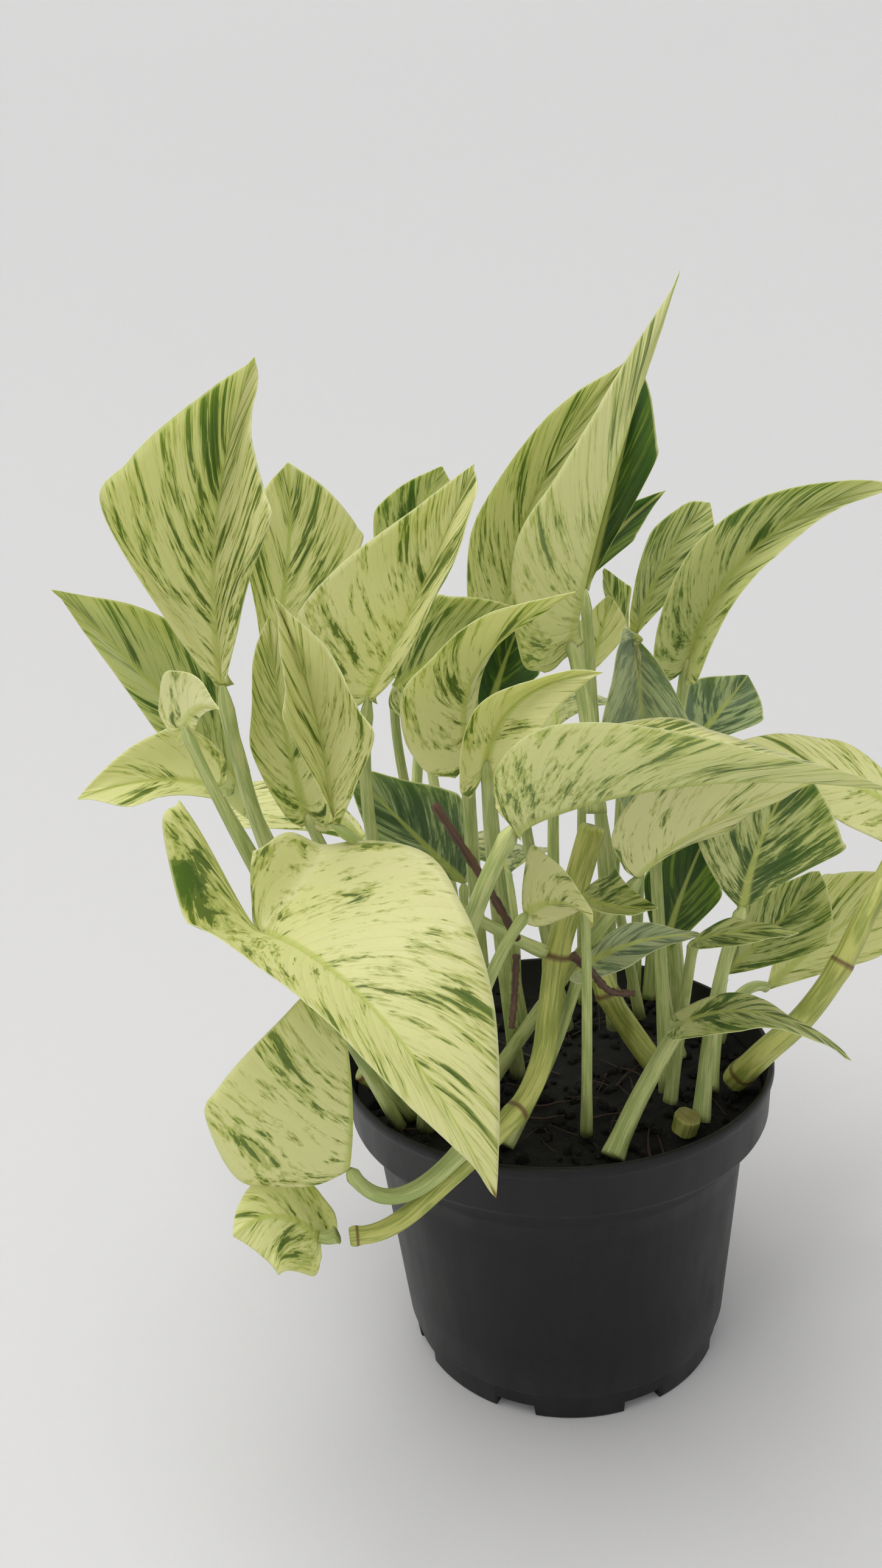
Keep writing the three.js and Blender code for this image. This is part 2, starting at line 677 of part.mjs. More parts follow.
stem("root_side", rootColor, [1.1, 0.8], [[1, -42, 55], [5, -42, 51], [10, -42, 45], [16, -40, 43]]);
stem("root_down", rootColor, [0.9, 0.8], [[-12, -40, 55], [-13, -40, 44], [-14, -40, 36]]);

const bladeRows = 6;
const bladeCells = 2;
const stalkRings = 4;
const stalkSides = 5;
const stalkTaper = 0.25;
for (const shape of leaves) {
  const path = new THREE.QuadraticBezierCurve3(at(shape.foot), at(shape.bend), at(shape.base));
  const radiusAt = (t) => shape.stalk * (1 - stalkTaper * t);
  const stalk = stemAlong(path, stalkRings, stalkSides, radiusAt);
  const blade = new Blade(shape).solid(bladeRows, bladeCells);
  addPiece(shape.name, blade.add(stalk), shape.color, 0.5);
}

const thinRoot = 1.5;
for (const { name, color, radii, path } of stems) {
  const [first, last] = radii;
  const curve = new THREE.CatmullRomCurve3(path.map(at), false, "centripetal");
  const sides = first > thinRoot ? 8 : 5;
  const radiusAt = (t) => first + (last - first) * t;
  addPiece(name, stemAlong(curve, 3 * (path.length - 1), sides, radiusAt), color, 0.55);
}

export default plant;
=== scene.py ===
import math

import bpy
import numpy as np
from mathutils import Matrix, Vector


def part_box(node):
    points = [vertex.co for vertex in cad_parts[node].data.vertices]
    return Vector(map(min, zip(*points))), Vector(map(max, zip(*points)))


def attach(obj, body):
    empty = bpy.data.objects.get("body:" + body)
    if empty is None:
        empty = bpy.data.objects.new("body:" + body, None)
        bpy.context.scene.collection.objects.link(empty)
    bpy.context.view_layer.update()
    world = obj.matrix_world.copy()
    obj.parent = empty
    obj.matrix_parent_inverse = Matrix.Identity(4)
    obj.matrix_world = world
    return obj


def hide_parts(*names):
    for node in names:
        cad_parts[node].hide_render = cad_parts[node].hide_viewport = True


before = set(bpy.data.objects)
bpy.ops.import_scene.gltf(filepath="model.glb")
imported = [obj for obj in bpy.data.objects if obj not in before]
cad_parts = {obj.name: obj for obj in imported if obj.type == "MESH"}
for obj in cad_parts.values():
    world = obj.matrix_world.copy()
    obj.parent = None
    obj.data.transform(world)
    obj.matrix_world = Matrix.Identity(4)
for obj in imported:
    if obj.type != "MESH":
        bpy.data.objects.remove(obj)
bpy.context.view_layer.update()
mm = 0.001
rng = np.random.default_rng(7)
potLow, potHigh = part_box("pot")
rimRadius = (potHigh.x - potLow.x) / 2
potHeight = potHigh.z - potLow.z
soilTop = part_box("soil")[1].z
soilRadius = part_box("soil")[1].x
print("frame loaded, pot", round(rimRadius * 2, 3), "across and", round(potHeight, 3), "high")


# small vector helpers
def smoothStep(x):
    t = np.clip(x, 0, 1)
    return t * t * (3 - 2 * t)


def unit(v):
    return v / np.maximum(np.linalg.norm(v, axis=-1, keepdims=True), 1e-12)


def plantPoint(p):  # millimetres from the pot's axis and the soil
    return np.array([p[0] * mm, p[1] * mm, soilTop + p[2] * mm])


# mesh and object helpers
def makeObject(name, points, faces, materials, faceSlots=None, attributes=None, smooth=True):
    mesh = bpy.data.meshes.new(name)
    mesh.from_pydata([tuple(p) for p in points], [], faces)
    for material in materials:
        mesh.materials.append(material)
    if faceSlots is not None:
        mesh.polygons.foreach_set("material_index", np.asarray(faceSlots, dtype=np.int32))
    mesh.polygons.foreach_set("use_smooth", [smooth] * len(mesh.polygons))
    for key, values in (attributes or {}).items():
        layer = mesh.attributes.new(key, "FLOAT_VECTOR", "POINT")
        layer.data.foreach_set("vector", np.asarray(values, dtype=np.float32).ravel())
    mesh.validate()
    mesh.update()
    thing = bpy.data.objects.new(name, mesh)
    bpy.context.collection.objects.link(thing)
    return thing


def putOnRoot(thing, slot, *nodes):
    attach(thing, "root")
    if nodes:
        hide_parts(*nodes)


# shader helpers
def tint(r, g, b):  # screen colour to linear
    linear = [c / 3294.6 if c <= 10.31 else ((c / 255 + 0.055) / 1.055) ** 2.4 for c in (r, g, b)]
    return (*linear, 1)


def startMaterial(name):
    material = bpy.data.materials.new(name)
    material.use_nodes = True
    material.node_tree.nodes.clear()
    return material, material.node_tree


def node(tree, kind, inputs=None, **settings):
    made = tree.nodes.new(kind)
    for key, value in settings.items():
        setattr(made, key, value)
    for key, value in (inputs or {}).items():
        if isinstance(value, bpy.types.NodeSocket):
            tree.links.new(value, made.inputs[key])
        else:
            made.inputs[key].default_value = value
    return made


def calc(tree, operation, a, b=0.0):
    return node(tree, "ShaderNodeMath", {0: a, 1: b}, operation=operation).outputs[0]


def ramp(tree, value, low, high, toLow=0.0, toHigh=1.0):
    inputs = {0: value, 1: low, 2: high, 3: toLow, 4: toHigh}
    return node(tree, "ShaderNodeMapRange", inputs, interpolation_type="SMOOTHSTEP").outputs[0]


def stretch(tree, vector, x, y, z):
    inputs = {0: vector, 1: (x, y, z)}
    return node(tree, "ShaderNodeVectorMath", inputs, operation="MULTIPLY").outputs[0]


def noise(tree, vector, scale, detail=2.0, roughness=0.5, distortion=0.0):
    inputs = {"Vector": vector, "Scale": scale, "Detail": detail}
    inputs.update({"Roughness": roughness, "Distortion": distortion})
    return node(tree, "ShaderNodeTexNoise", inputs).outputs[0]


def mixColor(tree, share, a, b):
    mixed = node(tree, "ShaderNodeMix", {0: share, 6: a, 7: b}, data_type="RGBA")
    return mixed.outputs[2]


def placeOf(tree, name):
    return node(tree, "ShaderNodeAttribute", attribute_name=name).outputs["Vector"]


def split(tree, vector):
    return node(tree, "ShaderNodeSeparateXYZ", {0: vector}).outputs


def bumpFrom(tree, height, distance, strength):
    inputs = {"Height": height, "Distance": distance, "Strength": strength}
    return node(tree, "ShaderNodeBump", inputs).outputs[0]


def finishMaterial(tree, inputs):
    surface = node(tree, "ShaderNodeBsdfPrincipled", inputs)
    out = tree.nodes.new("ShaderNodeOutputMaterial")
    tree.links.new(surface.outputs[0], out.inputs[0])


# leaf finishes: cream blades flecked with green along the side veins
# greener moves the whole blade towards green, haze is the soft yellow green between the flecks
leafFinishes = {
    "leaf_cream": {
        "cream": (217, 218, 154), "haze": (172, 177, 99), "fleck": (98, 112, 46),
        "dark": (66, 90, 26), "grey": (112, 130, 98), "greener": 0.09,
    },
    "leaf_green": {
        "cream": (193, 196, 134), "haze": (143, 152, 84), "fleck": (86, 103, 46),
        "dark": (56, 82, 28), "grey": (104, 122, 90), "greener": 0.2,
    },
    "leaf_grey": {
        "cream": (172, 181, 138), "haze": (134, 146, 104), "fleck": (92, 110, 78),
        "dark": (66, 86, 56), "grey": (112, 126, 104), "greener": 0.2,
    },
    "leaf_deep": {
        "cream": (124, 142, 52), "haze": (84, 106, 26), "fleck": (58, 82, 14),
        "dark": (40, 62, 12), "grey": (62, 84, 40), "greener": 0.36,
    },
}


def bladeMaterial(name, finish, isUnder):
    material, tree = startMaterial(name)
    veins = placeOf(tree, "veinPlace")  # centimetres across and along the side veins, and a seed
    across, along, _ = split(tree, veins)
    reach, toTip, paint = split(tree, placeOf(tree, "bladePlace"))
    green, grey, brown = split(tree, placeOf(tree, "bladeLook"))
    patchNoise = noise(tree, stretch(tree, veins, 0.5, 1.1, 1), 1.0, 2.0, 0.55, 0.3)
    fleckNoise = noise(tree, stretch(tree, veins, 1.5, 4.6, 1), 1.0, 3.0, 0.62, 0.4)
    speckNoise = noise(tree, stretch(tree, veins, 5.5, 13.0, 1), 1.0, 2.0, 0.6)
    greyNoise = noise(tree, stretch(tree, veins, 0.7, 2.0, 1.7), 1.0, 1.0)
    bias = calc(tree, "ADD", calc(tree, "ADD", green, paint), finish["greener"])
    bias = calc(tree, "ADD", bias, calc(tree, "MULTIPLY", calc(tree, "POWER", reach, 3.0), 0.06))
    patches = calc(tree, "MULTIPLY", calc(tree, "SUBTRACT", patchNoise, 0.5), 1.5)
    flecks = calc(tree, "MULTIPLY", calc(tree, "SUBTRACT", fleckNoise, 0.5), 2.3)
    specks = calc(tree, "MULTIPLY", calc(tree, "SUBTRACT", speckNoise, 0.5), 1.6)
    field = calc(tree, "ADD", calc(tree, "ADD", bias, patches), flecks)
    fine = calc(tree, "ADD", calc(tree, "MULTIPLY", field, 0.55), specks)
    softness = 0.07 if isUnder else 0.05
    fleckShare = ramp(tree, field, 0.47, 0.47 + softness)
    speckShare = ramp(tree, fine, 0.34, 0.34 + softness * 1.6)
    darkShare = ramp(tree, field, 0.66, 0.78)
    hazeShare = ramp(tree, calc(tree, "ADD", field, calc(tree, "MULTIPLY", specks, 0.7)), 0.05, 0.5)
    greyShare = ramp(tree, calc(tree, "ADD", grey, calc(tree, "SUBTRACT", greyNoise, 0.5)), 0.42, 0.56)
    color = mixColor(tree, hazeShare, tint(*finish["cream"]), tint(*finish["haze"]))
    color = mixColor(tree, calc(tree, "MULTIPLY", speckShare, 0.75), color, tint(*finish["fleck"]))
    greens = mixColor(tree, darkShare, tint(*finish["fleck"]), tint(*finish["dark"]))
    greens = mixColor(tree, calc(tree, "MULTIPLY", greyShare, 0.85), greens, tint(*finish["grey"]))
    color = mixColor(tree, fleckShare, color, greens)
    # the midrib stays pale and yellow, narrower towards the tip
    ribWidth = ramp(tree, toTip, 0.0, 1.0, 0.13, 0.03)
    ribShare = calc(tree, "DIVIDE", calc(tree, "ABSOLUTE", across), ribWidth)
    ribShare = ramp(tree, ribShare, 0.5, 1.5, 0.75, 0.0)
    color = mixColor(tree, ribShare, color, tint(190, 198, 104))
    edgeShare = ramp(tree, reach, 0.965, 0.995, 0.0, 0.7)
    color = mixColor(tree, edgeShare, color, tint(216, 222, 160))
    if isUnder:
        color = mixColor(tree, 0.16, color, tint(178, 186, 140))
    color = mixColor(tree, brown, color, tint(122, 84, 44))
    # side veins lie as shallow lines between softly raised strips, over a fine cell grain
    sideVein = calc(tree, "SINE", calc(tree, "MULTIPLY", along, 8.5))
    sideVein = calc(tree, "POWER", calc(tree, "ABSOLUTE", sideVein), 0.5)
    cells = noise(tree, stretch(tree, veins, 22, 40, 1), 1.0, 2.0, 0.6)
    height = calc(tree, "ADD", sideVein, calc(tree, "MULTIPLY", cells, 0.5))
    height = calc(tree, "ADD", height, calc(tree, "MULTIPLY", fleckShare, -0.25))
    normal = bumpFrom(tree, height, 0.00035 if isUnder else 0.00022, 0.55)
    roughness = ramp(tree, speckNoise, 0.3, 0.7, 0.36, 0.48)
    if isUnder:
        roughness = ramp(tree, speckNoise, 0.3, 0.7, 0.5, 0.64)
    finishMaterial(tree, {
        "Base Color": color, "Roughness": roughness, "Normal": normal, "IOR": 1.42,
        "Subsurface Weight": 0.35, "Subsurface Radius": (0.7, 1.0, 0.25), "Subsurface Scale": 0.0018,
    })
    return material


def stalkMaterial(name, pale, deep):
    material, tree = startMaterial(name)
    place = placeOf(tree, "stalkPlace")  # turns round the stalk, centimetres along it, and a seed
    stripes = noise(tree, stretch(tree, place, 9, 0.5, 1), 1.0, 3.0, 0.6)
    blotch = noise(tree, stretch(tree, place, 1.5, 0.8, 1), 1.0, 2.0)
    fibre = noise(tree, stretch(tree, place, 40, 3.0, 1), 1.0, 2.0)
    share = calc(tree, "ADD", calc(tree, "MULTIPLY", stripes, 0.7), calc(tree, "MULTIPLY", blotch, 0.5))
    color = mixColor(tree, ramp(tree, share, 0.48, 0.72), tint(*pale), tint(*deep))
    scar = ramp(tree, split(tree, placeOf(tree, "stalkLook"))[0], 0.2, 0.8)
    color = mixColor(tree, scar, color, tint(112, 82, 46))
    normal = bumpFrom(tree, calc(tree, "ADD", stripes, calc(tree, "MULTIPLY", fibre, 0.4)), 0.0004, 0.6)
    finishMaterial(tree, {
        "Base Color": color, "Roughness": ramp(tree, fibre, 0.3, 0.7, 0.38, 0.52), "Normal": normal,
        "Subsurface Weight": 0.3, "Subsurface Radius": (0.8, 1.0, 0.3), "Subsurface Scale": 0.002,
    })
    return material


bladeTops = {key: bladeMaterial(key + "_top", leafFinishes[key], False) for key in leafFinishes}
bladeUnders = {key: bladeMaterial(key + "_under", leafFinishes[key], True) for key in leafFinishes}
stalkSkin = stalkMaterial("stalk_skin", (204, 210, 140), (162, 180, 104))
vineSkin = stalkMaterial("vine_skin", (200, 202, 112), (150, 162, 72))
print("leaf finishes ready")


# half outline of a blade as shares of its half width and length, from the sinus to the tip
def halfOutline(widest, lobe, heart, taper):
    wide = 1 - smoothStep((widest - 0.15) / 0.35) if heart is None else heart
    narrow = 1 - wide
    rest = 1 - widest
    return np.array([
        (0.34 * wide + 0.05 * narrow, -lobe * wide),
        (0.78 * wide + 0.4 * narrow, (widest - (widest + lobe) * 0.86) * wide + widest * 0.33 * narrow),
        (1, widest),
        (0.93 - 0.2 * taper, widest + 0.27 * rest),
        (0.72 - 0.26 * taper, widest + 0.52 * rest),
        (0.42 - 0.2 * taper, widest + 0.75 * rest),
        (0.15 - 0.09 * taper, widest + 0.92 * rest),
        (0, 1),
    ])


def curveThrough(points, t):  # smooth curve through the points, t runs from 0 to 1
    points = np.asarray(points, dtype=float)
    spans = len(points) - 1
    place = np.clip(t, 0, 1) * spans
    i = np.minimum(place.astype(int), spans - 1)
    u = (place - i)[..., None]
    p1, p2 = points[i], points[i + 1]
    p0 = np.where((i > 0)[..., None], points[np.maximum(i - 1, 0)], 2 * p1 - p2)
    p3 = np.where((i + 2 <= spans)[..., None], points[np.minimum(i + 2, spans)], 2 * p2 - p1)
    return 0.5 * (
        2 * p1
        + (p2 - p0) * u
        + (2 * p0 - 5 * p1 + 4 * p2 - p3) * u**2
        + (3 * p1 - p0 - 3 * p2 + p3) * u**3
    )


class Blade:
    # the midrib arcs through base, mid and tip, and each half hangs from it through its edge point
    def __init__(self, shape):
        self.base, self.tip = plantPoint(shape["base"]), plantPoint(shape["tip"])
        self.cup = math.radians(shape.get("cup", 20))
        self.rise = shape.get("rise", 0.6)
        self.turn = math.radians(shape.get("turn", 0))
        self.heart = shape.get("heart")
        self.taper = shape.get("taper", 0.25)
        self.chord = self.tip - self.base
        self.length = np.linalg.norm(self.chord)
        self.arch = plantPoint(shape["mid"]) - (self.base + self.tip) / 2
        self.face = unit(np.cross(plantPoint(shape["right"]) - plantPoint(shape["left"]), self.chord))
        lobes = shape.get("lobes", (shape.get("lobe", 0.14),) * 2)
        self.halves = [
            self.half(-1, plantPoint(shape["left"]), lobes[0]),
            self.half(1, plantPoint(shape["right"]), lobes[1]),
        ]

    def frame(self, q):
        q = np.atleast_1d(np.asarray(q, dtype=float))
        t = np.clip(q, 0, 1)[..., None]
        along = unit(self.chord + self.arch * 4 * (1 - 2 * t))
        normal = unit(self.face - along * (along @ self.face)[..., None])
        point = self.base + self.chord * t + self.arch * 4 * t * (1 - t)
        behind = np.minimum(q, 0)[..., None]  # the lobes behind the base turn up softly
        turned = behind**2 / (0.06 - behind)
        back = behind + turned * (1 - math.cos(self.turn))
        upward = turned * math.sin(self.turn) + behind**2 * self.rise
        point = point + (along * back + normal * upward) * self.length
        return point, along, normal, np.cross(along, normal)

    def half(self, side, edge, lobe):
        q = np.clip((edge - self.base) @ self.chord / self.length**2, 0.12, 0.62)
        for _ in range(3):
            point, along, _, _ = self.frame(q)
            q = np.clip(q + (edge - point[0]) @ along[0] / self.length, 0.12, 0.62)
        point, _, normal, across = self.frame(q)
        x = (edge - point[0]) @ across[0] * side
        z = (edge - point[0]) @ normal[0]
        outline = halfOutline(float(q), lobe, self.heart, self.taper)
        return outline, math.hypot(x, z), math.atan2(z, x)

    # side -1 or 1, t from the sinus to the tip, u from the midrib to the edge
    # lines of equal t run with the side veins
    def pointAt(self, side, t, u):
        outline, width, fold = self.halves[0 if side < 0 else 1]
        edge = curveThrough(outline, t)
        rib = t**1.5
        swing = smoothStep(3 * t)
        bendX = edge[..., 0] * (0.25 + 0.3 * swing)
        bendY = rib + (edge[..., 1] - rib) * (0.8 - 0.45 * swing)
        x = 2 * u * (1 - u) * bendX + u**2 * edge[..., 0]
        y = (1 - u) ** 2 * rib + 2 * u * (1 - u) * bendY + u**2 * edge[..., 1]
        point, _, normal, across = self.frame(y)
        start = fold - self.cup / 2
        acrossBy = (np.sin(start + self.cup * x) - np.sin(start)) / self.cup
        upBy = (np.cos(start) - np.cos(start + self.cup * x)) / self.cup
        point = point + across * (side * width * acrossBy)[..., None] + normal * (width * upBy)[..., None]
        return point, side * x * width


# how the fine blade differs from its plain solid, in metres
bladeDetail = {
    "rows": 72, "cells": 16, "middleThick": 0.0004, "edgeThick": 0.00014,
    "ribHeight": 0.0009, "ribWidth": 0.0010, "veins": 9, "veinDepth": 0.00012,
    "wave": 0.0007, "swell": 0.0006,
}


def bladeGrid(blade, rows, cells):
    t = (np.arange(rows + 1) / rows)[:, None] * np.ones(cells + 1)
    u = (np.arange(cells + 1) / cells)[None, :] ** 1.2 * np.ones((rows + 1, 1))
    sides = [blade.pointAt(side, t, u) for side in (-1, 1)]
    joined = []
    for left, right in zip(*sides):
        joined.append(np.concatenate([left[:, :0:-1], right], axis=1))
    reach = np.concatenate([u[:, :0:-1], u], axis=1)
    toTip = np.concatenate([t[:, :0:-1], t], axis=1)
    return (*joined, reach, toTip)


def patchPaint(patches, sideReach, toTip):
    paint = np.zeros_like(toTip)
    for place, t, wide, long, amount in patches:
        paint += amount * np.exp(-(((sideReach - place) / wide) ** 2) - ((toTip - t) / long) ** 2)
    return paint


def bladeMesh(shape, look, seed):
    blade = Blade(shape)
    d = bladeDetail
    rows, cells = d["rows"], d["cells"]
    middle, across, reach, toTip = bladeGrid(blade, rows, cells)
    columns = 2 * cells + 1
    normal = unit(np.cross(np.gradient(middle, axis=1), np.gradient(middle, axis=0)))
    normal[-3:] = blade.frame(1.0)[2][0]
    normal[0] = normal[1]
    sideReach = np.sign(across) * reach
    local = np.random.default_rng(seed)
    phase = local.uniform(0, 6.28, 4)
    # the margin waves a little and the blade swells gently between its veins
    wave = np.sin(toTip * 9 + phase[0]) * np.where(across < 0, 1, -0.8)
    wave = wave + 0.6 * np.sin(toTip * 17 + phase[1])
    fade = smoothStep(reach * 1.4) * smoothStep((1 - toTip) * 5)
    lift = d["wave"] * wave * reach**2 * fade
    lift += d["swell"] * np.sin(sideReach * 5 + phase[2]) * np.sin(toTip * 7 + phase[3]) * fade
    strips = np.abs(np.sin(np.pi * (toTip * d["veins"] + 0.25 * (across < 0))))
    lift += d["veinDepth"] * (strips**0.6 - 0.7) * fade
    middle = middle + normal * (lift * min(1, blade.length / 0.05))[..., None]
    thick = d["middleThick"] + (d["edgeThick"] - d["middleThick"]) * reach**3
    ribSize = d["ribHeight"] * (1 - 0.8 * toTip) * shape["stalk"] / 2
    stalkSize = shape["stalk"] * mm * 0.85 * np.exp(-toTip / 0.06)
    ribWidth = d["ribWidth"] * (1 - 0.6 * toTip) * shape["stalk"] / 2
    rib = (ribSize + stalkSize) * np.exp(-((across / ribWidth) ** 2)) * smoothStep((1 - toTip) * 8)
    groove = 0.1 * np.minimum(rib, 0.0006)
    upper = middle + normal * (thick / 2 - groove)[..., None]
    lower = middle - normal * (thick / 2 + rib)[..., None]
    tip = middle[rows, cells]
    points = [*upper[:rows].reshape(-1, 3), *lower[:rows].reshape(-1, 3), tip]
    faces, slots = [], []
    low, tipIndex = rows * columns, 2 * rows * columns
    for j in range(rows - 1):
        for k in range(columns - 1):
            a = j * columns + k
            c = a + columns
            faces += [(a, a + 1, c + 1, c), (low + a, low + c, low + c + 1, low + a + 1)]
            slots += [0, 1]
        a = j * columns
        c = a + columns - 1
        faces.append((a, a + columns, low + a + columns, low + a))
        faces.append((c, low + c, low + c + columns, c + columns))
        slots += [0, 0]
    end = (rows - 1) * columns
    for k in range(columns - 1):
        faces += [(end + k, end + k + 1, tipIndex), (low + end + k + 1, low + end + k, tipIndex)]
        faces.append((k, low + k, low + k + 1, k + 1))
        slots += [0, 1, 0]
    faces += [(end, tipIndex, low + end), (end + columns - 1, low + end + columns - 1, tipIndex)]
    slots += [0, 0]
    paint = patchPaint(look.get("patches", ()), sideReach, toTip)
    brown = look.get("brownTip", 0.0) * smoothStep((toTip - 0.965) / 0.03)
    # flecks follow the side veins, which sweep forward from the rib
    sweep = toTip * blade.length - 0.5 * np.abs(across)
    veinPlace = np.stack([across * 100, sweep * 100, np.full_like(across, seed * 3.7)], axis=-1)
    bladePlace = np.stack([reach, toTip, paint], axis=-1)
    green = np.full_like(across, look["green"])
    bladeLook = np.stack([green, np.full_like(across, look.get("grey", 0.1)), brown], axis=-1)

    def spread(values):
        flat = values[:rows].reshape(-1, 3)
        return np.concatenate([flat, flat, values[rows, cells][None]])

    attributes = {"veinPlace": veinPlace, "bladePlace": bladePlace, "bladeLook": bladeLook}
    return points, faces, slots, {key: spread(values) for key, values in attributes.items()}


# a round stem along given points, with a radius for each ring, closed at both ends
def tubeMesh(route, radii, sides, squash=None):
    along = unit(np.gradient(route, axis=0))
    across = unit(np.array([-along[0][1], along[0][0], 0.001]))
    points, place = [], []
    travelled = np.concatenate([[0], np.cumsum(np.linalg.norm(np.diff(route, axis=0), axis=1))])
    for i, middle in enumerate(route):
        across = unit(across - along[i] * (across @ along[i]))
        other = np.cross(along[i], across)
        for k in range(sides):
            angle = 2 * math.pi * k / sides
            size = radii[i] * (squash(angle, i / (len(route) - 1)) if squash else 1)
            points.append(middle + (across * math.cos(angle) + other * math.sin(angle)) * size)
            place.append((math.cos(angle), math.sin(angle), travelled[i] * 100))
    faces = []
    for i in range(len(route) - 1):
        for k in range(sides):
            a, b = i * sides + k, i * sides + (k + 1) % sides
            faces.append((a, b, b + sides, a + sides))
    last = (len(route) - 1) * sides
    faces.append(tuple(range(sides - 1, -1, -1)))
    faces.append(tuple(range(last, last + sides)))
    return points, faces, np.array(place)


def bendThrough(start, bend, end, count):
    t = (np.arange(count) / (count - 1))[:, None]
    return (1 - t) ** 2 * start + 2 * t * (1 - t) * bend + t**2 * end


def stalkMesh(shape, seed):
    start, bend, end = (plantPoint(shape[key]) for key in ("foot", "bend", "base"))
    rings = 40
    route = bendThrough(start, bend, end, rings)
    t = np.arange(rings) / (rings - 1)
    radii = shape["stalk"] * mm * (1 - 0.25 * t)
    radii = radii * (1 + 0.16 * np.exp(-(((t - 0.95) / 0.035) ** 2)) + 0.18 * np.exp(-((t / 0.1) ** 2)))
    radii[-1] *= 0.45
    radii[-2] *= 0.8

    def channel(angle, _):  # the stalk is grooved along one side
        return 1 - 0.2 * math.exp(-(((angle - math.pi / 2) / 0.5) ** 2)) + 0.02 * math.cos(3 * angle)

    points, faces, place = tubeMesh(route, radii, 14, channel)
    place[:, 2] = place[:, 2] + seed * 5.1
    return points, faces, place


def buildLeaf(name, shape, look, seed):
    points, faces, slots, attributes = bladeMesh(shape, look, seed)
    stalkPoints, stalkFaces, place = stalkMesh(shape, seed)
    first = len(points)
    count = len(stalkPoints)
    allFaces = faces + [tuple(i + first for i in face) for face in stalkFaces]
    allSlots = slots + [2] * len(stalkFaces)
    for key in attributes:
        attributes[key] = np.concatenate([attributes[key], np.zeros((count, 3))])
    attributes["stalkPlace"] = np.concatenate([np.zeros((first, 3)), place])
    attributes["stalkLook"] = np.zeros((first + count, 3))
    finish = shape["finish"]
    skins = [bladeTops[finish], bladeUnders[finish], stalkSkin]
    leaf = makeObject(pieceName(name), points + stalkPoints, allFaces, skins, allSlots, attributes)
    putOnRoot(leaf, finish, name)
    return leaf


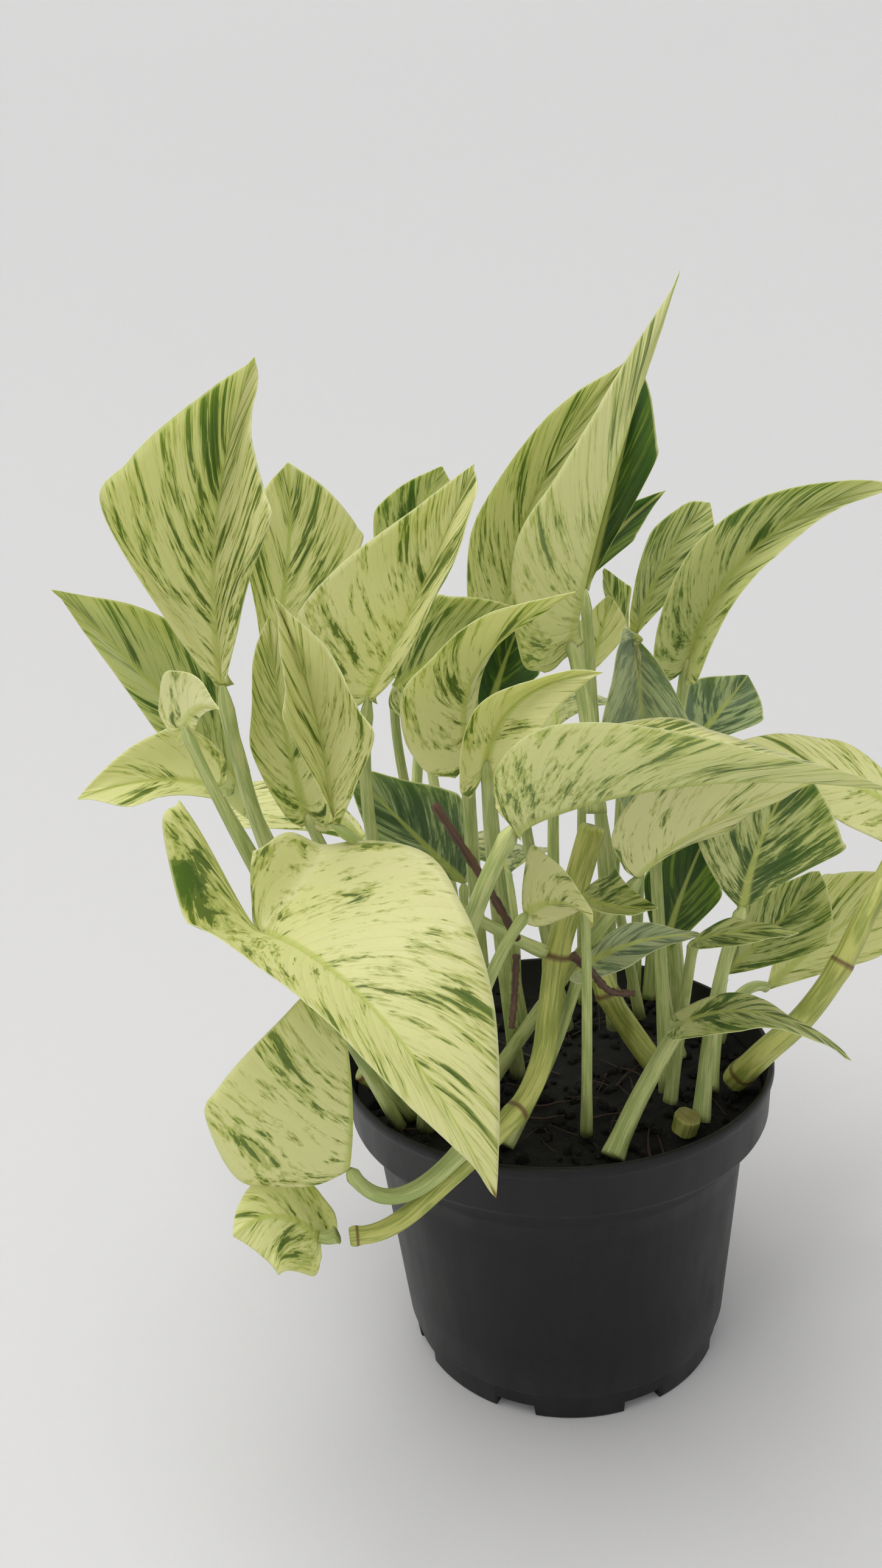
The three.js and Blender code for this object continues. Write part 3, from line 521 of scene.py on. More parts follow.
# leaf places in millimetres from the pot axis and the soil: the stalk runs foot, bend, base,
# the rib base, mid, tip, and left and right are where the edges pass
leafShapes = {
    "leaf_front_large": {
        "finish": "leaf_cream", "stalk": 2.3, "foot": (-35, -12, 2), "bend": (-50, -46, 49),
        "base": (-68, -64, 75), "mid": (-43, -88, 66), "tip": (-22, -106, 35), "left": (-34, -60, 91),
        "right": (-70, -90, 84), "lobes": (0.28, 0.5), "turn": 85, "rise": 1.4, "heart": 0.65,
        "taper": 0.3,
    },
    "leaf_trailing_large": {
        "finish": "leaf_cream", "stalk": 2.1, "foot": (-25, -67, 24), "bend": (-45, -74, 4),
        "base": (-53, -74, 22), "mid": (-51, -72, 44), "tip": (-54, -64, 66), "left": (-81, -82, 42),
        "right": (-58, -36, 18), "cup": 15, "lobe": 0.08, "heart": 1,
    },
    "leaf_trailing_small": {
        "finish": "leaf_cream", "stalk": 1.8, "foot": (-57, -76, 7), "bend": (-59, -76, 6),
        "base": (-61, -76, 7), "mid": (-69, -82, 17), "tip": (-77, -88, 17), "left": (-68, -92, 10),
        "right": (-63, -66, 14), "lobes": (0.1, 0.3), "heart": 1, "taper": 0,
    },
    "leaf_left_tall": {
        "finish": "leaf_cream", "stalk": 2.3, "foot": (-45, -3, 2), "bend": (-74, -24, 64),
        "base": (-77, -28, 123), "mid": (-75, -22, 160), "tip": (-61, -34, 194),
        "left": (-97, -40, 166), "right": (-58, -46, 167), "cup": 15, "taper": 0.8,
    },
    "leaf_left_behind": {
        "finish": "leaf_cream", "stalk": 2, "foot": (-37, 14, 2), "bend": (-67, 14, 66),
        "base": (-72, 12, 117), "mid": (-64, 14, 146), "tip": (-61, 10, 172), "left": (-75, 10, 151),
        "right": (-44, 8, 154), "taper": 0,
    },
    "leaf_left_outer": {
        "finish": "leaf_green", "stalk": 2, "foot": (-46, 8, 2), "bend": (-71, 0, 63),
        "base": (-79, 0, 89), "mid": (-97, -20, 125), "tip": (-108, -45, 149), "left": (-95, -8, 103),
        "right": (-82, -12, 130), "taper": 0.7,
    },
    "leaf_left_inner": {
        "finish": "leaf_cream", "stalk": 1.9, "foot": (-32, -1, 2), "bend": (-55, -16, 68),
        "base": (-62, -15, 86), "mid": (-66, -12, 112), "tip": (-67, -10, 136),
        "left": (-73, -20, 104), "right": (-52, -18, 102),
    },
    "leaf_left_folded": {
        "finish": "leaf_cream", "stalk": 1.7, "foot": (-5, -34, 53), "bend": (-26, -46, 69),
        "base": (-52, -52, 95), "mid": (-54, -47, 119), "tip": (-59, -58, 146),
        "left": (-58, -60, 120), "right": (-40, -64, 117), "cup": 30, "taper": 0.6,
    },
    "leaf_left_low": {
        "finish": "leaf_cream", "stalk": 1.8, "foot": (-41, -22, 2), "bend": (-72, -32, 79),
        "base": (-80, -38, 101), "mid": (-92, -44, 105), "tip": (-106, -55, 105),
        "left": (-90, -60, 105), "right": (-85, -38, 116), "cup": 40, "heart": 0.6, "taper": 0.5,
    },
    "leaf_left_curl": {
        "finish": "leaf_cream", "stalk": 1.6, "foot": (-44, -26, 2), "bend": (-73, -56, 92),
        "base": (-81, -56, 120), "mid": (-76, -63, 125), "tip": (-70, -72, 126),
        "left": (-84, -55, 131), "right": (-78, -59, 120), "cup": 30, "lobe": 0.3, "taper": 0.6,
    },
    "leaf_mid_left": {
        "finish": "leaf_cream", "stalk": 1.9, "foot": (-29, 6, 2), "bend": (-52, -28, 77),
        "base": (-43, -30, 118), "mid": (-28, -22, 143), "tip": (-15, -20, 169),
        "left": (-57, -35, 139), "right": (-25, -48, 143), "taper": 0.35,
    },
    "leaf_mid_back": {
        "finish": "leaf_green", "stalk": 1.8, "foot": (-22, 29, 2), "bend": (-32, 62, 98),
        "base": (-37, 62, 140), "mid": (-29, 62, 154), "tip": (-21, 60, 168), "left": (-42, 58, 155),
        "right": (-18, 58, 153), "taper": 0,
    },
    "leaf_top_broad": {
        "finish": "leaf_cream", "stalk": 2.1, "foot": (6, 22, 2), "bend": (-7, 24, 77),
        "base": (-7, 30, 115), "mid": (3, 40, 156), "tip": (32, 34, 194), "left": (-16, 22, 148),
        "right": (18, 32, 147), "cup": 15, "taper": 0.4,
    },
    "leaf_top_tall": {
        "finish": "leaf_cream", "stalk": 2.3, "foot": (10, -26, 85), "bend": (11, -18, 104),
        "base": (7, -12, 126), "mid": (17, -14, 163), "tip": (37, 0, 210), "left": (11, 8, 149),
        "right": (-7, -22, 149), "taper": 1,
    },
    "leaf_top_green": {
        "finish": "leaf_deep", "stalk": 2, "foot": (20, 20, 2), "bend": (17, 20, 86),
        "base": (15, 20, 134), "mid": (24, 22, 162), "tip": (31, 18, 190), "left": (16, 16, 161),
        "right": (33, 16, 165), "cup": 15,
    },
    "leaf_top_slim": {
        "finish": "leaf_deep", "stalk": 1.7, "foot": (29, 26, 2), "bend": (14, 26, 93),
        "base": (13, 30, 132), "mid": (23, 28, 146), "tip": (40, 34, 158), "left": (20, 26, 152),
        "right": (28, 26, 144), "taper": 0.8,
    },
    "leaf_mid_front": {
        "finish": "leaf_cream", "stalk": 2, "foot": (-18, 4, 2), "bend": (-22, -40, 82),
        "base": (-21, -42, 110), "mid": (-16, -44, 128), "tip": (3, -58, 143), "left": (-35, -54, 124),
        "right": (-17, -34, 114), "cup": 25, "lobes": (0.3, 0.14), "taper": 0.8,
    },
    "leaf_mid_pale": {
        "finish": "leaf_cream", "stalk": 1.9, "foot": (-11, -3, 2), "bend": (-18, -48, 82),
        "base": (-17, -52, 107), "mid": (-9, -56, 121), "tip": (7, -64, 127), "left": (-20, -58, 118),
        "right": (-8, -62, 112), "cup": 25, "lobe": 0.36, "taper": 0.6,
    },
    "leaf_mid_green": {
        "finish": "leaf_green", "stalk": 1.7, "foot": (-18, 25, 2), "bend": (-42, 14, 82),
        "base": (-38, 8, 113), "mid": (-22, 12, 122), "tip": (-4, 12, 131), "left": (-27, 8, 135),
        "right": (-24, 6, 107),
    },
    "leaf_mid_dark": {
        "finish": "leaf_deep", "stalk": 1.7, "foot": (-7, 23, 2), "bend": (-15, 18, 70),
        "base": (-13, 16, 103), "mid": (-8, 20, 115), "tip": (-3, 20, 126), "left": (-17, 14, 116),
        "right": (1, 14, 112),
    },
    "leaf_low_dark": {
        "finish": "leaf_grey", "stalk": 1.6, "foot": (-27, -10, 2), "bend": (-24, -6, 42),
        "base": (-23, -2, 60), "mid": (-37, 0, 76), "tip": (-51, -6, 95), "left": (-45, -4, 72),
        "right": (-22, -6, 84),
    },
    "leaf_right_long": {
        "finish": "leaf_cream", "stalk": 2.4, "foot": (-37, -27, 2), "bend": (-28, -66, 72),
        "base": (-13, -72, 98), "mid": (25, -66, 103), "tip": (71, -55, 95), "left": (23, -36, 111),
        "right": (-8, -90, 122), "lobe": 0.02, "heart": 1, "taper": 0.9,
    },
    "leaf_right_edge": {
        "finish": "leaf_cream", "stalk": 2.2, "foot": (96, 1, 62), "bend": (98, 2, 66),
        "base": (99, 4, 69), "mid": (75, 8, 83), "tip": (50, 14, 89), "left": (83, 0, 67),
        "right": (87, 14, 87), "cup": 15,
    },
    "leaf_right_fan": {
        "finish": "leaf_cream", "stalk": 2.2, "foot": (-22, -13, 2), "bend": (2, -20, 42),
        "base": (18, -40, 73), "mid": (36, -34, 83), "tip": (61, -30, 90), "left": (18, -46, 97),
        "right": (40, -27, 78), "cup": 15, "lobe": 0.06,
    },
    "leaf_right_wide": {
        "finish": "leaf_green", "stalk": 2.1, "foot": (34, -33, 2), "bend": (40, -18, 33),
        "base": (50, -12, 52), "mid": (56, -7, 69), "tip": (65, -10, 90), "left": (38, -12, 73),
        "right": (78, -16, 76), "cup": 15, "taper": 0,
    },
    "leaf_small_folded": {
        "finish": "leaf_cream", "stalk": 1.7, "foot": (-29, -22, 2), "bend": (-24, -58, 56),
        "base": (-10, -53, 71), "mid": (-3, -63, 77), "tip": (2, -75, 77), "left": (-9, -59, 89),
        "right": (-1, -54, 70), "cup": 10,
    },
    "leaf_small_green": {
        "finish": "leaf_green", "stalk": 1.4, "foot": (4, -35, 2), "bend": (4, -50, 60),
        "base": (4, -46, 71), "mid": (10, -50, 70), "tip": (20, -52, 70), "left": (12, -41, 76),
        "right": (9, -57, 71),
    },
    "leaf_low_grey": {
        "finish": "leaf_grey", "stalk": 1.9, "foot": (-17, -38, 2), "bend": (-2, -22, 16),
        "base": (4, -34, 48), "mid": (20, -28, 51), "tip": (37, -22, 49), "left": (16, -24, 54),
        "right": (13, -38, 49), "cup": 15, "taper": 0.1,
    },
    "leaf_low_green": {
        "finish": "leaf_green", "stalk": 1.7, "foot": (28, -23, 2), "bend": (33, -18, 30),
        "base": (32, -34, 53), "mid": (43, -37, 56), "tip": (56, -40, 56), "left": (42, -29, 56),
        "right": (37, -45, 56), "cup": 15,
    },
    "leaf_right_low": {
        "finish": "leaf_green", "stalk": 2, "foot": (40, -18, 2), "bend": (46, 0, 12),
        "base": (49, 5, 25), "mid": (64, 5, 39), "tip": (74, 0, 56), "left": (54, 2, 49),
        "right": (74, -4, 35), "cup": 15, "taper": 0,
    },
    "leaf_right_lowest": {
        "finish": "leaf_green", "stalk": 2.6, "foot": (9, -46, 2), "bend": (18, -34, 13),
        "base": (29, -34, 31), "mid": (49, -38, 34), "tip": (69, -42, 22), "left": (42, -28, 35),
        "right": (37, -48, 36), "cup": 15, "taper": 0.4,
    },
    "leaf_right_pale": {
        "finish": "leaf_cream", "stalk": 2, "foot": (48, 8, 2), "bend": (56, 14, 20),
        "base": (66, 18, 13), "mid": (84, 17, 30), "tip": (107, 14, 47), "left": (80, 22, 44),
        "right": (94, 10, 24), "cup": 15,
    },
    "leaf_hanging_grey": {
        "finish": "leaf_grey", "stalk": 1.8, "foot": (28, -18, 2), "bend": (32, 14, 86),
        "base": (23, -8, 124), "mid": (25, -4, 93), "tip": (20, -22, 66), "left": (13, -16, 105),
        "right": (39, -6, 97),
    },
    "leaf_right_dark": {
        "finish": "leaf_deep", "stalk": 1.8, "foot": (36, 1, 2), "bend": (31, 2, 20),
        "base": (31, 0, 34), "mid": (37, 4, 50), "tip": (46, 6, 70), "left": (26, 0, 56),
        "right": (47, 2, 48),
    },
    "leaf_right_high": {
        "finish": "leaf_green", "stalk": 2.1, "foot": (40, 17, 2), "bend": (35, 24, 74),
        "base": (43, 20, 113), "mid": (63, 18, 144), "tip": (96, 10, 156), "left": (40, 14, 140),
        "right": (54, 10, 130), "cup": 15, "taper": 0.3,
    },
    "leaf_back_dark": {
        "finish": "leaf_grey", "stalk": 1.8, "foot": (37, 29, 2), "bend": (45, 40, 50),
        "base": (49, 45, 82), "mid": (60, 50, 92), "tip": (68, 52, 101), "left": (45, 44, 98),
        "right": (70, 46, 87), "cup": 15, "taper": 0,
    },
    "leaf_back_upright": {
        "finish": "leaf_green", "stalk": 1.9, "foot": (29, 39, 2), "bend": (35, 44, 69),
        "base": (32, 40, 118), "mid": (42, 46, 138), "tip": (56, 50, 153), "left": (35, 38, 145),
        "right": (59, 44, 140), "taper": 0,
    },
    "leaf_back_small": {
        "finish": "leaf_green", "stalk": 1.4, "foot": (21, 40, 2), "bend": (29, 54, 66),
        "base": (31, 48, 118), "mid": (27, 50, 127), "tip": (25, 52, 136), "left": (25, 45, 125),
        "right": (33, 52, 129),
    },
    "leaf_back_pale": {
        "finish": "leaf_cream", "stalk": 1.6, "foot": (13, 37, 2), "bend": (14, 44, 60),
        "base": (17, 38, 107), "mid": (22, 42, 118), "tip": (25, 44, 129), "left": (13, 38, 119),
        "right": (29, 38, 118),
    },
    "leaf_rear_high": {
        "finish": "leaf_cream", "stalk": 2.1, "foot": (-31, 30, 2), "bend": (-42, 52, 52),
        "base": (-30, 62, 100), "mid": (-40, 85, 120), "tip": (-55, 112, 127), "left": (-62, 82, 110),
        "right": (-18, 90, 110),
    },
    "leaf_rear_mid": {
        "finish": "leaf_green", "stalk": 2.1, "foot": (5, 42, 2), "bend": (6, 50, 57),
        "base": (10, 62, 87), "mid": (12, 88, 98), "tip": (16, 115, 82), "left": (-12, 84, 87),
        "right": (38, 84, 87),
    },
    "leaf_rear_right": {
        "finish": "leaf_cream", "stalk": 2, "foot": (34, 38, 2), "bend": (36, 42, 37),
        "base": (48, 50, 52), "mid": (66, 68, 66), "tip": (84, 90, 58), "left": (50, 80, 56),
        "right": (78, 58, 56),
    },
    "leaf_rear_left": {
        "finish": "leaf_cream", "stalk": 2, "foot": (-38, 26, 2), "bend": (-42, 28, 40),
        "base": (-52, 36, 62), "mid": (-76, 52, 76), "tip": (-102, 70, 68), "left": (-88, 34, 68),
        "right": (-66, 74, 68),
    },
    "leaf_rear_low": {
        "finish": "leaf_green", "stalk": 1.9, "foot": (-8, 44, 2), "bend": (-6, 48, 30),
        "base": (-8, 60, 40), "mid": (-14, 84, 46), "tip": (-22, 108, 26), "left": (-38, 82, 36),
        "right": (10, 86, 36),
    },
}


# how green, how grey and how brown-tipped each blade is, with any patches as
# (place across from -1 to 1, place along, half width, half length, amount)
leafLooks = {
    "leaf_front_large": {
        "green": 0.0, "grey": 0.0, "brownTip": 1.0,
        "patches": (
            (0.75, 0.16, 0.18, 0.05, 0.4), (0.9, 0.5, 0.25, 0.04, 0.35), (0.6, 0.12, 0.5, 0.16, 0.2),
            (-0.7, 0.2, 0.4, 0.3, 0.05), (0.2, 0.6, 0.4, 0.3, -0.06),
        ),
    },
    "leaf_trailing_large": {"green": 0.02, "grey": 0.35},
    "leaf_trailing_small": {"green": -0.02, "grey": 0.2, "patches": ((-0.5, 0.4, 0.3, 0.1, 0.35),)},
    "leaf_left_tall": {
        "green": 0.1, "grey": 0.2,
        "patches": (
            (-0.7, 0.75, 0.4, 0.08, 0.25), (-0.25, 0.6, 0.18, 0.25, 0.16), (0.6, 0.3, 0.2, 0.06, 0.2),
        ),
    },
    "leaf_left_behind": {"green": 0.06, "grey": 0.3, "patches": ((0.4, 0.55, 0.3, 0.3, 0.25),)},
    "leaf_left_outer": {"green": -0.05, "grey": 0.1},
    "leaf_left_inner": {"green": 0.12, "grey": 0.2},
    "leaf_left_folded": {"green": -0.03, "grey": -0.2, "patches": ((0.5, 0.45, 0.25, 0.12, 0.12),)},
    "leaf_left_low": {"green": 0.0, "grey": 0.3, "patches": ((-0.5, 0.6, 0.2, 0.1, 0.3),)},
    "leaf_left_curl": {"green": -0.06, "grey": 0.3},
    "leaf_mid_left": {"green": 0.12, "grey": 0.3, "patches": ((0.5, 0.5, 0.4, 0.4, 0.1),)},
    "leaf_mid_back": {"green": 0.0, "grey": 0.1},
    "leaf_top_broad": {"green": 0.08, "grey": 0.1},
    "leaf_top_tall": {"green": 0.03, "grey": 0.2, "patches": ((0.5, 0.8, 0.4, 0.1, 0.1),)},
    "leaf_top_green": {"green": 0.35, "grey": -0.6},
    "leaf_top_slim": {"green": 0.3, "grey": -0.1},
    "leaf_mid_front": {"green": 0.06, "grey": -0.2},
    "leaf_mid_pale": {"green": 0.02, "grey": -0.2},
    "leaf_mid_green": {"green": 0.06, "grey": 0.0},
    "leaf_mid_dark": {"green": 0.4, "grey": -0.4},
    "leaf_low_dark": {"green": 0.3, "grey": 0.3},
    "leaf_right_long": {
        "green": 0.15, "grey": 0.2, "patches": ((-0.4, 0.5, 0.3, 0.12, 0.14), (0.8, 0.3, 0.3, 0.4, 0.05)),
    },
    "leaf_right_edge": {"green": 0.08, "grey": 0.1},
    "leaf_right_fan": {"green": 0.03, "grey": 0.25, "patches": ((0.4, 0.2, 0.3, 0.2, 0.1),)},
    "leaf_right_wide": {"green": 0.1, "grey": 0.1, "patches": ((0.5, 0.5, 0.5, 0.6, 0.25),)},
    "leaf_small_folded": {"green": 0.0, "grey": 0.3},
    "leaf_small_green": {"green": 0.12, "grey": -0.3},
    "leaf_low_grey": {"green": 0.1, "grey": 0.5},
    "leaf_low_green": {"green": 0.1, "grey": 0.2},
    "leaf_right_low": {"green": 0.03, "grey": -0.1, "patches": ((0.5, 0.5, 0.3, 0.15, 0.2),)},
    "leaf_right_lowest": {"green": 0.05, "grey": 0.0},
    "leaf_right_pale": {"green": 0.0, "grey": 0.3},
    "leaf_hanging_grey": {"green": 0.15, "grey": 0.6},
    "leaf_right_dark": {"green": 0.3, "grey": 0.0},
    "leaf_right_high": {"green": 0.04, "grey": 0.1, "patches": ((0.5, 0.4, 0.3, 0.2, 0.12),)},
    "leaf_back_dark": {"green": 0.25, "grey": 0.4},
    "leaf_back_upright": {"green": 0.04, "grey": 0.1},
    "leaf_back_small": {"green": 0.1, "grey": 0.3},
    "leaf_back_pale": {"green": -0.04, "grey": 0.0},
    "leaf_rear_high": {"green": 0.0, "grey": 0.1, "patches": ((0.5, 0.4, 0.2, 0.1, 0.3),)},
    "leaf_rear_mid": {"green": 0.05, "grey": 0.1, "patches": ((-0.5, 0.5, 0.2, 0.1, 0.3),)},
    "leaf_rear_right": {"green": 0.0, "grey": 0.2},
    "leaf_rear_left": {"green": 0.02, "grey": 0.1},
    "leaf_rear_low": {"green": 0.06, "grey": 0.2},
}


def pieceName(cadNode):  # leaf_front_large becomes leafFrontLarge
    first, *rest = cadNode.split("_")
    return first + "".join(word.capitalize() for word in rest)


for number, (name, shape) in enumerate(leafShapes.items()):
    buildLeaf(name, shape, leafLooks[name], number + 1)
print(len(leafShapes), "leaves grown")


# bare stems, cut stubs and aerial roots, in the same millimetres
stemRoutes = {
    "vine_front": {
        "slot": "stem_green", "radii": (1.9, 3.3),
        "route": ((-54, -77, 7), (-48, -76, 7), (-42, -73, 8), (-31, -66, 13), (-21, -58, 17),
            (-12, -48, 21), (-7, -40, 27), (-4, -34, 38), (-1, -31, 52), (3, -29, 64), (9, -27, 82)),
    },
    "vine_right": {
        "slot": "stem_green", "radii": (3.4, 2.6),
        "route": ((46, -18, 4), (53, -24, 16), (64, -20, 23), (74, -18, 36), (82, -14, 49),
            (92, -6, 61)),
    },
    "vine_mid": {
        "slot": "stem_green", "radii": (3.4, 3),
        "route": ((27, -6, 4), (21, -2, 13), (15, -4, 25), (12, 0, 37), (12, 4, 54)),
    },
    "stub_stem": {
        "slot": "stem_green", "radii": (3.6, 3.2),
        "route": ((-43, -12, 4), (-48, -12, 7), (-54, -12, 12)),
    },
    "stub_cut": {
        "slot": "stem_green", "radii": (3.2, 2.9),
        "route": ((29, -35, 1), (30, -36, 6)),
    },
    "root_long": {
        "slot": "root_brown", "radii": (1, 1),
        "route": ((-29, -60, 100), (-20, -56, 82), (-12, -46, 62)),
    },
    "root_side": {
        "slot": "root_brown", "radii": (1.1, 0.8),
        "route": ((1, -42, 55), (5, -42, 51), (10, -42, 45), (16, -40, 43)),
    },
    "root_down": {
        "slot": "root_brown", "radii": (0.9, 0.8),
        "route": ((-12, -40, 55), (-13, -40, 44), (-14, -40, 36)),
    },
}

# nodes along a stem, as shares of its length, and how far they stand out
stemDetail = {
    "vine_front": {"nodes": (0.02, 0.46, 0.78), "swelling": 0.16},
    "vine_right": {"nodes": (0.05, 0.6), "swelling": 0.1},
    "vine_mid": {"nodes": (0.5, 0.97), "swelling": 0.14},
    "stub_stem": {"nodes": (0.85,), "swelling": 0.1},
    "stub_cut": {"nodes": (0.9,), "swelling": 0.12},
}


def smoothRoute(points, count):  # centripetal curve through the points
    points = np.array(points, dtype=float)
    knots = np.concatenate([[0], np.cumsum(np.linalg.norm(np.diff(points, axis=0), axis=1) ** 0.5)])
    ends = np.vstack([2 * points[0] - points[1], points, 2 * points[-1] - points[-2]])
    times = np.concatenate([[2 * knots[0] - knots[1]], knots, [2 * knots[-1] - knots[-2]]])
    route = []
    for s in np.linspace(0, len(points) - 1, count):
        i = min(int(s), len(points) - 2)
        t = knots[i] + (s - i) * (knots[i + 1] - knots[i])
        level = [ends[i + k] for k in range(4)]
        when = [times[i + k] for k in range(4)]
        for step in (1, 2, 3):
            merged = []
            for k in range(4 - step):
                low, high = (when[1], when[2]) if step == 3 else (when[k], when[k + step])
                share = (t - low) / (high - low)
                merged.append((1 - share) * level[k] + share * level[k + 1])
            level = merged
        route.append(level[0])
    return np.array(route)


def buildStem(name, spec, seed):
    route = smoothRoute([plantPoint(p) for p in spec["route"]], 20 * (len(spec["route"]) - 1))
    t = np.linspace(0, 1, len(route))
    detail = stemDetail.get(name, {"nodes": (), "swelling": 0})
    first, last = spec["radii"]
    radii = (first + (last - first) * t) * mm
    scar = np.zeros_like(t)
    length = np.linalg.norm(np.diff(route, axis=0), axis=1).sum()
    for place in detail["nodes"]:
        away = (t - place) * length / (0.0022)
        radii = radii * (1 + detail["swelling"] * np.exp(-(away**2)))
        scar = np.maximum(scar, 0.75 * np.exp(-((away - 0.5) ** 2) * 5))
    isRoot = spec["slot"] == "root_brown"
    if isRoot:
        radii = radii * (1 + 0.12 * np.sin(t * 37 + seed) + 0.1 * np.sin(t * 83))
    else:
        radii[0] *= 0.9
        radii[-1] *= 0.85

    def ribbed(angle, along):
        return 1 + 0.035 * math.cos(5 * angle + 1.5 * along) + 0.02 * math.cos(9 * angle)

    sides = 10 if isRoot else 24
    points, faces, place = tubeMesh(route, radii, sides, ribbed)
    place[:, 2] = place[:, 2] + seed * 4.3
    look = np.zeros_like(place)
    look[:, 0] = np.repeat(scar, sides)
    skin = rootSkin if isRoot else vineSkin
    attributes = {"stalkPlace": place, "stalkLook": look}
    stem = makeObject(pieceName(name), points, faces, [skin], None, attributes)
    putOnRoot(stem, spec["slot"], name)


rootSkin = stalkMaterial("root_skin", (104, 72, 50), (66, 44, 34))
for number, (name, spec) in enumerate(stemRoutes.items()):
    buildStem(name, spec, number + 1)
print(len(stemRoutes), "stems and roots grown")


# pot sizes beside the rim radius and height that the frame gives, in metres
potShape = {
    "collarHeight": 0.015, "bodyTop": 0.0529, "bodyBottom": 0.0464, "foot": 0.0449, "footHeight": 0.0075,
    "wall": 0.0016, "floorLift": 0.0034, "floorThick": 0.0018, "footCount": 8, "firstNotch": -69,
    "notchWidth": 0.011, "discRadius": 0.0305, "turns": 192,
}


def potMaterial():
    material, tree = startMaterial("pot_plastic")
    place = node(tree, "ShaderNodeTexCoord").outputs["Object"]
    grain = noise(tree, place, 2600.0, 3.0, 0.6)
    haze = noise(tree, stretch(tree, place, 1, 1, 0.35), 60.0, 4.0, 0.6)
    streak = noise(tree, stretch(tree, place, 1, 1, 0.05), 420.0, 2.0)
    dust = ramp(tree, noise(tree, place, 900.0, 2.0, 0.7), 0.68, 0.76, 0.0, 0.35)
    color = mixColor(tree, ramp(tree, haze, 0.35, 0.7), tint(5, 5, 7), tint(9, 9, 11))
    color = mixColor(tree, dust, color, tint(22, 22, 22))
    rough = calc(tree, "ADD", ramp(tree, haze, 0.3, 0.7, 0.36, 0.5), calc(tree, "MULTIPLY", streak, 0.08))
    height = calc(tree, "ADD", calc(tree, "MULTIPLY", grain, 0.5), calc(tree, "MULTIPLY", streak, 0.5))
    finishMaterial(tree, {
        "Base Color": color, "Roughness": rough, "Normal": bumpFrom(tree, height, 0.00008, 0.5),
        "IOR": 1.4,
    })
    return material


def buildPot():
    p = potShape
    collarLow = potHeight - p["collarHeight"]
    floorTop = p["floorLift"] + p["floorThick"]
    soft = 0.0007

    # radius and height from the underside's middle, out, up the outside and down the inside
    # True marks the points that rise in a notch
    profile = [
        (p["discRadius"], p["floorLift"], False), (p["foot"] - 0.0047, p["floorLift"], False),
        (p["foot"] - 0.0044, p["floorLift"] - 0.0003, False),
        (p["foot"] - 0.0043, 0.0004, True), (p["foot"] - 0.0039, 0, True),
        (p["foot"] - soft, 0, True), (p["foot"] - 0.0002, 0.0002, True), (p["foot"], soft, True),
        (p["foot"] + 0.0003, p["footHeight"] - 0.0003, False), (p["foot"] + 0.0005, p["footHeight"], False),
        (p["bodyBottom"] - 0.0004, p["footHeight"] + 0.0004, False),
        (p["bodyBottom"], p["footHeight"] + 0.0011, False),
    ]
    for share in (0.2, 0.4, 0.6, 0.8):
        r = p["bodyBottom"] + (p["bodyTop"] - p["bodyBottom"]) * share
        profile.append((r, p["footHeight"] + 0.001 + (collarLow - p["footHeight"] - 0.001) * share, False))
    ring = collarLow - 0.007
    profile += [
        (p["bodyTop"] - 0.00075, ring - 0.0004, False), (p["bodyTop"] - 0.00045, ring, False),
        (p["bodyTop"] - 0.0004, ring + 0.0008, False),
        (p["bodyTop"], collarLow - 0.0002, False), (p["bodyTop"] + 0.0004, collarLow, False),
        (rimRadius - 0.0022, collarLow + 0.0003, False), (rimRadius - 0.0016, collarLow + 0.0008, False),
        (rimRadius - 0.0013, collarLow + 0.0016, False), (rimRadius - 0.0007, potHeight - 0.0034, False),
        (rimRadius - 0.0003, potHeight - 0.0028, False), (rimRadius, potHeight - 0.0022, False),
        (rimRadius, potHeight - 0.0008, False), (rimRadius - 0.0003, potHeight - 0.0002, False),
        (rimRadius - 0.0007, potHeight, False), (rimRadius - p["wall"] + 0.0003, potHeight, False),
        (rimRadius - p["wall"], potHeight - 0.0004, False),
        (rimRadius - 0.0015 - p["wall"], collarLow + 0.0026, False),
        (p["bodyTop"] - p["wall"], collarLow + 0.0003, False),
        (p["bodyBottom"] - p["wall"], p["footHeight"] + 0.001, False),
        (p["foot"] - p["wall"], floorTop, False), (p["discRadius"], floorTop, False),
    ]
    # angles keep two close ones at each side of every notch, so that its walls stand upright
    half = math.atan2(p["notchWidth"] / 2, p["foot"])
    centres = [math.radians(p["firstNotch"] + 360 / p["footCount"] * i) for i in range(p["footCount"])]
    turns = list(np.arange(p["turns"]) / p["turns"] * 2 * math.pi)
    turns = [a for a in turns if all(abs(abs((a - c + math.pi) % (2 * math.pi) - math.pi) - half) > 0.015
                                     for c in centres)]
    for c in centres:
        for edge in (-half, half):
            turns += [(c + edge - 0.004) % (2 * math.pi), (c + edge + 0.004) % (2 * math.pi)]
    turns.sort()
    points, faces = [], []
    count = len(profile)
    for a in turns:
        inNotch = any(abs((a - c + math.pi) % (2 * math.pi) - math.pi) < half for c in centres)
        for r, z, rises in profile:
            up = p["floorLift"] - 0.0002 + z * 0.1 if inNotch and rises else z
            points.append((r * math.cos(a), r * math.sin(a), up + potLow.z))
    for i in range(len(turns)):
        j = (i + 1) % len(turns)
        for k in range(count):
            m = (k + 1) % count
            faces.append((i * count + k, j * count + k, j * count + m, i * count + m))
    shell = makeObject("potShell", points, faces, [potPlastic])
    putOnRoot(shell, "pot_plastic", "pot")
    return shell


# the floor's middle disc with its drain holes, resting on a small round pad
drainFloor = {"holes": 8, "holeRadius": 0.003, "holeCircle": 0.0245, "padRadius": 0.012}


